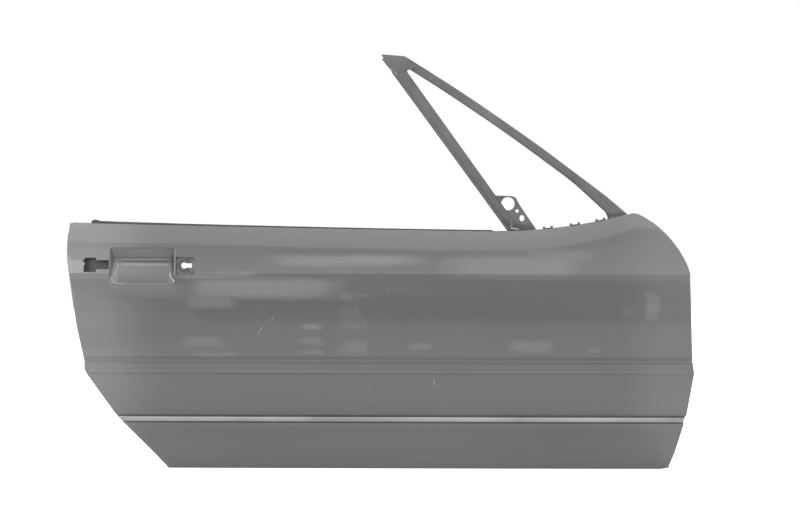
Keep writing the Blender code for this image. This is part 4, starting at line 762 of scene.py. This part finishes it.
surfaces = {  # each noise has its scale and detail, then where needed its stretch and place
    "inner_paint": {"name": "innerPaint", "cloud": (6, 5), "greys": (0.15, 0.205),
                    "wear": ((24, 6, (1, 1, 0.6), (2, 0, 0)), 0.52, 0.74), "worn": (0.35, 0.3),
                    "rough": ((14, 4), 0.42, 0.62), "bump": ((320, 2), 0.05, 0.0008),
                    "values": {"Coat Weight": 0.15, "Coat Roughness": 0.25}},
    "bright_trim": {"name": "brightTrim", "cloud": (12, 4, (0.6, 1, 1)), "greys": (0.26, 0.37),
                    "wear": ((40, 5, (0.4, 1, 1), (3, 0, 0)), 0.56, 0.74), "worn": (0.4, 0.28),
                    "rough": ((90, 4, (0.05, 1, 1)), 0.28, 0.46), "bump": ((90, 4, (0.05, 1, 1)), 0.06, 0.0005),
                    "values": {"Metallic": 0.85}},
    "zinc_steel": {"name": "zincSteel", "spangle": 130, "greys": (0.3, 0.44),
                   "wear": ((18, 5), 0.52, 0.72), "worn": (0.5, 0.16),
                   "rough": ((40, 4), 0.34, 0.55), "bump": ((240, 3), 0.05, 0.0006), "values": {"Metallic": 0.8}},
    "black_steel": {"name": "blackSteel", "cloud": (30, 4), "greys": (0.055, 0.09),
                    "wear": ((160, 3, (1, 1, 1), (1, 3, 0)), 0.68, 0.74), "worn": (0.6, 0.18),
                    "rough": ((50, 3), 0.45, 0.65), "bump": ((300, 3), 0.08, 0.0006), "values": {}},
    "lock_steel": {"name": "lockSteel", "cloud": (45, 4), "greys": (0.085, 0.135),
                   "wear": ((260, 3, (1, 1, 1), (0, 2, 1)), 0.52, 0.7), "worn": (0.35, 0.3),
                   "rough": ((70, 3), 0.34, 0.55), "bump": ((300, 3), 0.08, 0.0006), "values": {"Metallic": 0.35}},
    "rubber": {"name": "sealRubber", "cloud": (20, 4), "greys": (0.032, 0.056),
               "wear": ((80, 5, (1, 1, 1), (2, 2, 0)), 0.55, 0.75), "worn": (0.3, 0.09),
               "rough": ((60, 3), 0.62, 0.82), "bump": ((500, 2), 0.1, 0.0005), "values": {}},
    "mastic": {"name": "masticPad", "cloud": (35, 5), "greys": (0.035, 0.075),
               "rough": ((60, 3), 0.78, 0.95), "bump": ((150, 4), 0.35, 0.001), "values": {}},
}


usual = {"cloud": (0.35, 0.7), "rough": (0.3, 0.7)}  # where the values of a noise mostly lie


def surfaceFinish(surface):
    finish = Finish(surface["name"])
    if "spangle" in surface:
        cells = finish.add("TexVoronoi", {"Vector": finish.mapped(), "Scale": surface["spangle"]})
        tone = finish.span(cells.outputs["Color"], 0.0, 1.0)
    else:
        tone = finish.pattern(surface["cloud"], *usual["cloud"])
    colour = finish.blend(tone, *surface["greys"])
    if "wear" in surface:
        share, grey = surface["worn"]
        colour = finish.blend(finish.maths("MULTIPLY", finish.pattern(*surface["wear"]), share), colour, grey)
    place, smoothest, roughest = surface["rough"]
    rough = finish.pattern(place, *usual["rough"], smoothest, roughest)
    finish.set({"Base Color": colour, "Roughness": rough, **surface["values"]})
    finish.bump(*surface["bump"])
    return finish.material


finishes = {slot: surfaceFinish(surface) for slot, surface in surfaces.items()}
finishes["body_paint"] = bodyPaintFinish()
finishes["frame_paint"] = framePaintFinish()
slots = {part["node"]: part["material_slot"] for part in frame["record"]["subparts"]}
for name, slot in slots.items():
    nodes[name].data.materials.clear()
    nodes[name].data.materials.append(finishes[slot])
print("finishes on", len(nodes), "nodes")

openings = {
    "slotX": (-1.2536, -1.2276, -1.2006),
    "slotWideZ": (0.4114, 0.4417),
    "slotNarrowZ": (0.4173, 0.4365),
    "lockX": (-1.0596, -1.0206),
    "lockZ": (0.406, 0.4439),
    "lockChamfer": 0.0045,
    "torn": ((0.0026, 0.4417), (0.0014, 0.4382), (-0.0026, 0.4362), (-0.0044, 0.4346), (-0.002, 0.433),
             (0.0022, 0.4312), (0.003, 0.4284), (0.0008, 0.4262), (-0.0006, 0.423), (0.0, 0.418),
             (-0.0004, 0.414), (0.0012, 0.4114)),
    "throughOut": (0.07, 0.125),
    "hemEndT": 0.8,
}


def buildSkin():
    piece, places = gridPiece("outerSkin", columnTotal - 1, rowTotal - 1)
    mesh = piece.data
    gridMark = mesh.attributes.new("gridMark", "INT", "POINT")
    for vert, c, r in places:
        gridMark.data[vert.index].value = r * columnTotal + c
        vert.co = skinGrid[r][c]

    hemRows = len(rowZ) + sum(1 for t in rowT if t < openings["hemEndT"])
    lastColumn = columnTotal - 1
    path = [(r, 0) for r in range(hemRows - 1, 0, -1)] + [(0, c) for c in range(columnTotal)]
    path += [(r, lastColumn) for r in range(1, hemRows)]
    onHem = set(path)
    points = [skinGrid[r][c] for r, c in path]
    sides = {}
    for i, (r, c) in enumerate(path):
        run = (points[min(i + 1, len(path) - 1)] - points[max(i - 1, 0)]).normalized()
        normal = gridNormal(r, c)
        side = normal.cross(run).normalized()
        middle = skinGrid[rowTotal // 2][columnTotal // 2]
        if side.dot(points[i] - middle) < 0:
            side = -side
        sides[(r, c)] = side, normal

    def marks(vert):
        return divmod(piece.data.attributes["gridMark"].data[vert.index].value, columnTotal)

    def growChain(keys, place):
        bpy.ops.mesh.extrude_region()
        objectMode()
        for vert in piece.data.vertices:
            if vert.select:
                key = marks(vert)
                if key in keys:
                    vert.co = place(key)
        editMode()

    def boundaryOf(keys):
        chosen = {v.index for v in piece.data.vertices if marks(v) in keys}
        pick("EDGE", piece.data.edges, lambda e: e.vertices[0] in chosen and e.vertices[1] in chosen and isRim(e))

    faceCount = Counter(key for polygon in mesh.polygons for key in polygon.edge_keys)

    def isRim(edge):
        return faceCount[tuple(sorted(edge.vertices))] == 1

    def growHem(push, sink):
        growChain(onHem, lambda key: skinGrid[key[0]][key[1]] + sides[key][0] * push - sides[key][1] * sink)

    radius = shell["hemRadius"]
    boundaryOf(onHem)
    for turn in map(radians, shell["hemTurns"]):
        growHem(radius * sin(turn), radius * (1 - cos(turn)))
    growHem(-shell["hemLength"], 2 * radius)

    objectMode()
    onRoll = {(rowTotal - 1, c) for c in range(1, lastColumn)}
    boundaryOf(onRoll)
    for k in range(shell["rollSteps"]):
        turn = shell["rollTurn"] * (k + 1) / shell["rollSteps"]
        growChain(onRoll, lambda key: rollSpot(key[1], turn, shell["rollRadius"]))
    growChain(onRoll, lambda key: rollSpot(key[1], shell["rollTurn"], shell["rollRadius"])
              + Vector((0, 0, -shell["rollLip"])))
    faceOutward()
    middle = min(piece.data.polygons, key=lambda p: (p.center - skinGrid[rowTotal // 3][columnTotal // 2]).length)
    if middle.normal.y > 0:
        editMode()
        selectAll()
        bpy.ops.mesh.flip_normals()
        objectMode()
    piece.data.attributes.remove(piece.data.attributes["gridMark"])
    thicken(piece, shell["sheet"])

    x0, x1, x2 = openings["slotX"]
    lowWide, highWide = openings["slotWideZ"]
    lowNarrow, highNarrow = openings["slotNarrowZ"]
    torn = [(x0 + x, z) for x, z in openings["torn"]]
    slot = torn + [(x1, lowWide), (x1, lowNarrow), (x2, lowNarrow), (x2, highNarrow), (x1, highNarrow),
                   (x1, highWide)]
    x0, x1 = openings["lockX"]
    z0, z1 = openings["lockZ"]
    chamfer = openings["lockChamfer"]
    square = [(x0, z0), (x1, z0), (x1, z1 - chamfer), (x1 - chamfer, z1), (x0, z1)]
    for hole in (slot, square):
        cutWith(piece, prismPiece("holeTool", hole, *openings["throughOut"]))
    settle(piece, "body_paint", "outer_skin", 38)
    print("outer skin", len(piece.data.polygons), "faces")


buildSkin()

strip = {"lip": 0.0013, "proud": 0.0013, "profile": 9, "gap": 0.0003, "crown": 0.2, "endRise": 0.55}


def buildStrip():
    lowRow = min(range(len(rowZ)), key=lambda r: abs(rowZ[r] - shell["grooveLow"]))
    highRow = min(range(len(rowZ)), key=lambda r: abs(rowZ[r] - shell["grooveHigh"]))
    rings = []
    for c in range(0, columnTotal, 2):
        low, high = skinGrid[lowRow][c], skinGrid[highRow][c]
        normal = gridNormal(lowRow + 1, c)
        ends = 1.0 if 0 < c < columnTotal - 1 else strip["endRise"]
        share = strip["lip"] / (shell["grooveHigh"] - shell["grooveLow"])
        bottom, top = mix(low, high, share), mix(high, low, share)
        rise = shell["grooveDepth"] + strip["proud"]
        ring = [bottom + normal * strip["gap"], top + normal * strip["gap"]]
        for k in range(strip["profile"]):
            a = pi * k / (strip["profile"] - 1)
            across = mix(top, bottom, 0.5 - 0.5 * cos(a))
            ring.append(across + normal * (rise * ends * mix(1, sin(a), strip["crown"])))
        rings.append(ring)
    piece = sweptPiece("trimStrip", rings)
    settle(piece, "bright_trim", "trim_strip", 50)


seal = {"firstX": -1.248, "lastX": -0.3905, "thick": 0.0042, "thin": 0.0016, "bump": 0.003, "gap": 0.0003,
        "fade": 1.25, "rise": 0.005, "fall": 0.009, "from": 18, "underSteps": 8, "overTo": 100, "overSteps": 6,
        "swell": (35, 90), "swellSteps": 3, "below": 0.0004,
        "foot": ((0, 0), (-0.0016, -0.0006), (-0.0014, -0.0018), (0.0018, -0.0018)),
        "lip": ((0.0018, -0.0042), (0.007, -0.0036), (0.008, -0.002), (0.005, 0.0006), (0.0018, 0.0018))}


def buildSeal():
    picked = [c for c in range(1, columnTotal - 1)
              if seal["firstX"] <= beltRow[c].x - door["shiftX"] <= seal["lastX"]]
    rings = []
    first = radians(seal["from"])
    under, over = seal["underSteps"], seal["overSteps"]
    start = beltRow[picked[0]].x
    for order, c in enumerate(picked):
        fade = mix(seal["thick"], seal["thin"], min(order / (len(picked) - 1) * seal["fade"], 1))
        past = beltRow[c].x - start
        bump = seal["bump"] * ease(past / seal["rise"]) * (1 - ease(past / seal["fall"] - 1))
        clear = shell["rollRadius"] + seal["gap"]
        underRoll = [rollSpot(c, mix(first, shell["rollTurn"], s / under), clear) for s in range(under + 1)]
        swell = [sin(radians(mix(*seal["swell"], min(s / seal["swellSteps"], 1)))) for s in range(over + 1)]
        overRoll = [rollSpot(c, mix(first, radians(seal["overTo"]), s / over), clear + (fade + bump) * swell[s])
                    for s in range(over, 0, -1)]
        lip = rollSpot(c, shell["rollTurn"], clear)
        bottom = lip + Vector((0, 0, -shell["rollLip"] - seal["below"]))
        inner = [bottom + Vector((0, y, z)) for y, z in seal["foot"]]
        inner += [lip + Vector((0, y, z)) for y, z in seal["lip"]]
        rings.append(underRoll + inner + overRoll)
    piece = sweptPiece("beltSeal", rings)
    settle(piece, "rubber", "belt_seal", 50)


buildStrip()
buildSeal()
print("strip and seal built")

glass = {"radius": 1.9, "out": 0.063, "fullZ": 0.2}
post = {"footX": -0.3587, "footZ": 0.52, "slope": 0.715, "bottomZ": 0.44, "topZ": 0.842, "width": 0.0225,
        "flare": 0.004, "depth": 0.018, "runWidth": 0.01, "runDepth": 0.009,
        "bandDeep": (0.0026, 0.0022), "steps": (0.0062, 0.0078, 0.0104, 0.0118), "faceDeep": 0.0014,
        "nose": 0.004, "noseTop": 0.0008, "fadeOver": 0.045, "flush": 0.004, "reachUp": 0.0022, "rings": 28,
        "edge": 0.0009}
run = {"lowZ": 0.488, "clear": 0.0003, "wall": 0.0022, "proud": 0.0012, "seat": 0.0006, "lip": 0.003, "rings": 24,
       "corner": (0.6, 1.3)}
stretch = sqrt(1 + post["slope"] ** 2)


def glassLine(z):
    return glass["out"] - glass["radius"] * (1 - sqrt(1 - ((z - glass["fullZ"]) / glass["radius"]) ** 2))


def postX(z):
    return post["footX"] - post["slope"] * (z - post["footZ"])


def postHalf(z):
    share = (z - post["footZ"]) / (post["topZ"] - post["footZ"])
    return (post["width"] + post["flare"] * share) / 2 * stretch


def buildPost():
    rings = []
    deep = post["runDepth"] * stretch
    side = post["depth"] / 2
    slot = post["runWidth"] / 2
    band, edge = post["bandDeep"]
    bandEnd, ridge, ridgeEnd, faceStart = post["steps"]
    for k in range(post["rings"] + 1):
        z = mix(post["bottomZ"], post["topZ"] + post["reachUp"], k / post["rings"])
        half = postHalf(z)
        fade = ease((post["topZ"] - post["flush"] - z) / post["fadeOver"])  # flush where the corner starts
        face, nose = side - post["faceDeep"] * fade, mix(post["noseTop"], post["nose"], fade)
        section = [(-half, -side), (-half, -slot), (-half + deep, -slot), (-half + deep, slot), (-half, slot),
                   (-half, side - band * fade), (-half + bandEnd, side - edge * fade), (-half + ridge, side),
                   (-half + ridgeEnd, side), (-half + faceStart, face), (half - nose, face), (half, side - nose),
                   (half, -side + post["nose"]), (half - post["nose"], -side)]
        rings.append(alongGlass(postX(z), z, section))
    piece = sweptPiece("divisionPost", rings)
    bevelPiece(piece, post["edge"], 40)
    settle(piece, "frame_paint", "division_post", 30)


def buildRun():
    rings = []
    half = post["runWidth"] / 2 - run["clear"]
    wall, lip = run["wall"], run["lip"]
    mouth, turn = [wall * share for share in run["corner"]]
    for k in range(run["rings"] + 1):
        z = mix(run["lowZ"], post["topZ"], k / run["rings"])
        rear = -postHalf(z) - run["proud"]
        front = -postHalf(z) + post["runDepth"] * stretch - run["seat"]
        section = [(rear, -half), (rear, -half + mouth), (rear + lip, -half + turn),
                   (front - wall * stretch, -half + wall), (front - wall * stretch, half - wall),
                   (rear + lip, half - turn), (rear, half - mouth), (rear, half), (front, half),
                   (front, -half)]
        rings.append(alongGlass(postX(z), z, section))
    piece = sweptPiece("glassRun", rings)
    settle(piece, "rubber", "glass_run", 40)


barUpper = smoothThrough([(-0.5575, 0.8642), (-0.5167, 0.8385), (-0.4374, 0.7862), (-0.3628, 0.7342),
                          (-0.2906, 0.6826), (-0.2229, 0.6312), (-0.1554, 0.58), (-0.11, 0.5418)])
barLower = smoothThrough([(-0.564, 0.8468), (-0.5532, 0.84), (-0.5102, 0.8122), (-0.4332, 0.7601),
                          (-0.3587, 0.7083), (-0.2887, 0.6567), (-0.221, 0.6055), (-0.1789, 0.5671),
                          (-0.1515, 0.5416)])
barFoot = (((-0.15, 0.5756641), (-0.1789, 0.5671)), ((-0.11, 0.5418), (-0.1515, 0.5416)),
           ((-0.1005, 0.5338), (-0.1474, 0.532)), ((-0.1003, 0.519), (-0.1463, 0.518)),
           ((-0.1002, 0.505), (-0.146, 0.505)), ((-0.11, 0.455), (-0.138, 0.455)))
bar = {"from": -0.5535, "to": -0.164, "rings": 21, "intoCorner": 0.0022, "fadeRings": 3, "fadeDeep": 0.0006,
       "span": 0.002, "edge": 0.001,  # each corner of the section: share across, face, how far it is sunk
       "section": ((0.0, -1, 0.003), (0.0, 1, 0.003), (0.12, 1, 0), (0.66, 1, 0), (0.7, 1, 0.0015),
                   (0.76, 1, 0.0015), (0.8, 1, 0.003), (1.0, 1, 0.005), (1.0, -1, 0.003), (0.88, -1, 0),
                   (0.12, -1, 0))}


def barPairs():
    pairs = []
    for k in range(bar["rings"]):
        x = mix(bar["from"], bar["to"], k / bar["rings"])
        rise = (barUpper(x + bar["span"]) - barUpper(x - bar["span"])) / (2 * bar["span"])
        reachDown = (barUpper(x) - barLower(x)) / (1 + rise * rise)
        lowX = x + rise * reachDown
        pairs.append((Vector((x, 0, barUpper(x))), Vector((lowX, 0, barLower(lowX)))))
    for (ux, uz), (lx, lz) in barFoot:
        pairs.append((Vector((ux, 0, uz)), Vector((lx, 0, lz))))
    return pairs


def buildBar():
    side = post["depth"] / 2
    section = [(share, face * (side - sunk)) for share, face, sunk in bar["section"]]
    rings = []
    pairs = barPairs()
    first = pairs[0][0] - pairs[0][1]
    push = Vector((first.z, 0, -first.x)).normalized() * bar["intoCorner"]
    pairs[0] = (pairs[0][0] - push, pairs[0][1] - push)
    for order, (upper, lower) in enumerate(pairs):
        line = glassLine((upper.z + lower.z) / 2)
        across = upper - lower
        fade = min(order / bar["fadeRings"], 1)
        level = [(s, mix(copysign(side - bar["fadeDeep"], out), out, fade)) for s, out in section]
        rings.append([spot(lower.x + across.x * s, line + out, lower.z + across.z * s) for s, out in level])
    piece = sweptPiece("pillarBar", rings)
    bevelPiece(piece, bar["edge"], 30)
    settle(piece, "frame_paint", "pillar_bar", 35)


corner = {"keep": 0.0012, "round": 0.001, "segments": 3}


def buildCorner():
    piece = cadCopy("cornerBracket", "corner_bracket")
    upper, lower = barPairs()[0]
    rise = (upper - lower).normalized()
    away = Vector((-rise.z, 0, rise.x))

    def free(vert):
        place = Vector((vert.co.x - door["shiftX"], 0, vert.co.z + door["dropZ"]))
        return place.z > post["topZ"] + corner["keep"] and abs((place - upper).dot(away)) > corner["keep"]

    frees = [free(vert) for vert in piece.data.vertices]
    pick("EDGE", piece.data.edges, lambda e: frees[e.vertices[0]] and frees[e.vertices[1]])
    bpy.ops.mesh.bevel(offset=corner["round"], segments=corner["segments"], profile=0.5, clamp_overlap=True)
    objectMode()
    settle(piece, "frame_paint", "corner_bracket", 35)


mirror = {"topZ": 0.5765, "lowZ": 0.468, "lowX": -0.29, "sheet": 0.003, "lap": 0.001, "edge": 0.0005,
          "shoulder": ((-0.352, 0.0008), (-0.3475, 0.002), (-0.3445, 0.0032), (-0.3425, 0.0045),
                       (-0.3412, 0.0064), (-0.3401, 0.0085)),
          "front": ((-0.3325, 0.554), (-0.3153, 0.5285), (-0.2979, 0.503)),
          "hub": (-0.3589, 0.5591), "hubRadius": 0.0141, "hubFlat": (200, 262), "hubSteps": 47, "cut": 0.02,
          "holes": ((-0.3396, 0.5436, 0.0036, 0.0036, 28), (-0.3293, 0.5283, 0.0052, 0.0066, 32)),
          "stand": 0.004, "middleZ": 0.55, "lean": (0.5, 0.58)}


def buildMirrorPlate():
    def frontOfPost(z):
        return postX(z) + postHalf(z) - mirror["lap"]

    top, low = mirror["topZ"], mirror["lowZ"]
    outline = [(frontOfPost(top), top), *[(x, top - drop) for x, drop in mirror["shoulder"]], *mirror["front"],
               (mirror["lowX"], low), (frontOfPost(low), low)]
    piece = prismPiece("mirrorPlate", outline, 0.0, mirror["sheet"])
    flatFrom, flatTo = map(radians, mirror["hubFlat"])
    last = mirror["hubSteps"]
    arc = [flatTo + (2 * pi - (flatTo - flatFrom)) * k / last for k in range(last + 1)]
    hubX, hubZ = mirror["hub"]
    holes = [[(hubX + mirror["hubRadius"] * cos(a), hubZ + mirror["hubRadius"] * sin(a)) for a in arc]]
    holes += [roundOutline(*hole) for hole in mirror["holes"]]
    for hole in holes:
        cutWith(piece, prismPiece("holeTool", hole, -mirror["cut"], mirror["cut"]))
    bevelPiece(piece, mirror["edge"], 40)
    low, high = mirror["lean"]
    tilt = (glassLine(high) - glassLine(low)) / (high - low)
    for vert in piece.data.vertices:
        rise = vert.co.z + door["dropZ"] - mirror["middleZ"]
        vert.co.y -= glassLine(mirror["middleZ"]) + mirror["stand"] + tilt * rise - mirror["sheet"]
    settle(piece, "frame_paint", "mirror_plate", 30)


buildPost()
buildRun()
buildBar()
buildCorner()
buildMirrorPlate()
print("quarter-light frame built")

lock = {"keyX": -1.0423, "keyZ": 0.4257, "cutOpen": 0.0061, "around": 0.013, "shift": 0.0015,
        "slopeZ": (0.402, 0.4449), "rings": ((0.0092, 0.001), (0.013, 0.0011))}


def buildLockPlate():
    piece = cadCopy("lockPlate", "lock_plate")
    centre = spot(lock["keyX"], 0, lock["keyZ"])
    around = [vert.co for vert in piece.data.vertices if (vert.co.xz - centre.xz).length < lock["around"]]
    face = door["glassY"] - min(place.y for place in around)
    low, high = lock["slopeZ"]
    slope = (plainOut(lock["keyX"], high) - plainOut(lock["keyX"], low)) / (high - low)
    for radius, thick in lock["rings"]:
        deselect()
        bpy.ops.mesh.primitive_torus_add(major_segments=56, minor_segments=10, major_radius=radius,
                                         minor_radius=thick,
                                         location=spot(lock["keyX"] + lock["shift"], face, lock["keyZ"]),
                                         rotation=(pi / 2 + atan(slope), 0, 0))
        ring = bpy.context.object
        bpy.ops.object.transform_apply(location=True, rotation=True, scale=True)
        pick("VERT", ring.data.vertices,
             lambda v: abs(v.co.z - centre.z) < lock["cutOpen"] and v.co.x > centre.x)
        bpy.ops.mesh.delete(type="VERT")
        selectAll()
        bpy.ops.mesh.fill_holes(sides=0)
        faceOutward()
        ring.select_set(True)
        piece.select_set(True)
        bpy.context.view_layer.objects.active = piece
        bpy.ops.object.join()
    settle(piece, "black_steel", "lock_plate", 30, "lock_steel")


buildLockPlate()

panel = {"bend": 0.0016, "segments": 2, "least": 6, "most": 75}


def buildInnerPanel():
    piece = cadCopy("innerPanel", "inner_panel")
    mesh = piece.data
    normals = {}
    for polygon in mesh.polygons:
        for key in polygon.edge_keys:
            normals.setdefault(key, []).append(polygon.normal.copy())
    least, most = radians(panel["least"]), radians(panel["most"])

    def isBend(edge):
        sides = normals.get(tuple(sorted(edge.vertices)), [])
        return len(sides) == 2 and least < sides[0].angle(sides[1], 0) < most

    pick("EDGE", mesh.edges, isBend)
    bpy.ops.mesh.bevel(offset=panel["bend"], segments=panel["segments"], profile=0.5, clamp_overlap=True)
    objectMode()
    settle(piece, "inner_paint", "inner_panel", 35)
    print("inner panel", len(piece.data.polygons), "faces")


buildInnerPanel()

beam = {"radius": 0.011, "wall": 0.0025, "sides": 40, "steps": 24, "rear": (0.08, 0.3175),
        "front": (0.0795, 0.312), "bow": 0.008}


def buildBeam():
    low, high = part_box("intrusion_beam")
    (rearOut, rearZ), (frontOut, frontZ) = beam["rear"], beam["front"]
    piece, places = gridPiece("intrusionBeam", beam["steps"], beam["sides"])
    for vert, i, j in places:
        t = i / beam["steps"]
        a = 2 * pi * j / beam["sides"]
        line = mix(rearOut, frontOut, t) + beam["bow"] * 4 * t * (1 - t)
        x = mix(low.x, high.x, t) - door["shiftX"]
        vert.co = spot(x, line + beam["radius"] * cos(a), mix(rearZ, frontZ, t) + beam["radius"] * sin(a))
    cleanMesh(piece, 0.00001)
    thicken(piece, beam["wall"])
    settle(piece, "zinc_steel", "intrusion_beam", 40)


buildBeam()
print("beam built")

soft = {"width": 0.0004, "names": ("hinge_plate_upper", "hinge_plate_lower", "check_strap_plate", "latch_plate",
                                   "beam_bracket_front", "beam_bracket_rear", "handle_bracket", "post_strap",
                                   "bar_foot_strap", "front_guide_strap", "rear_guide_strap_low",
                                   "rear_guide_strap_high", "belt_clip_rear", "belt_clip_middle",
                                   "belt_clip_front", "bar_foot_seal")}


def camel(name):
    first, *rest = name.split("_")
    return first + "".join(word.capitalize() for word in rest)


def buildSmallParts():
    for name in soft["names"]:
        piece = cadCopy(camel(name), name)
        bevelPiece(piece, soft["width"], 40)
        settle(piece, slots[name], name, 30)


buildSmallParts()
print("small parts built")
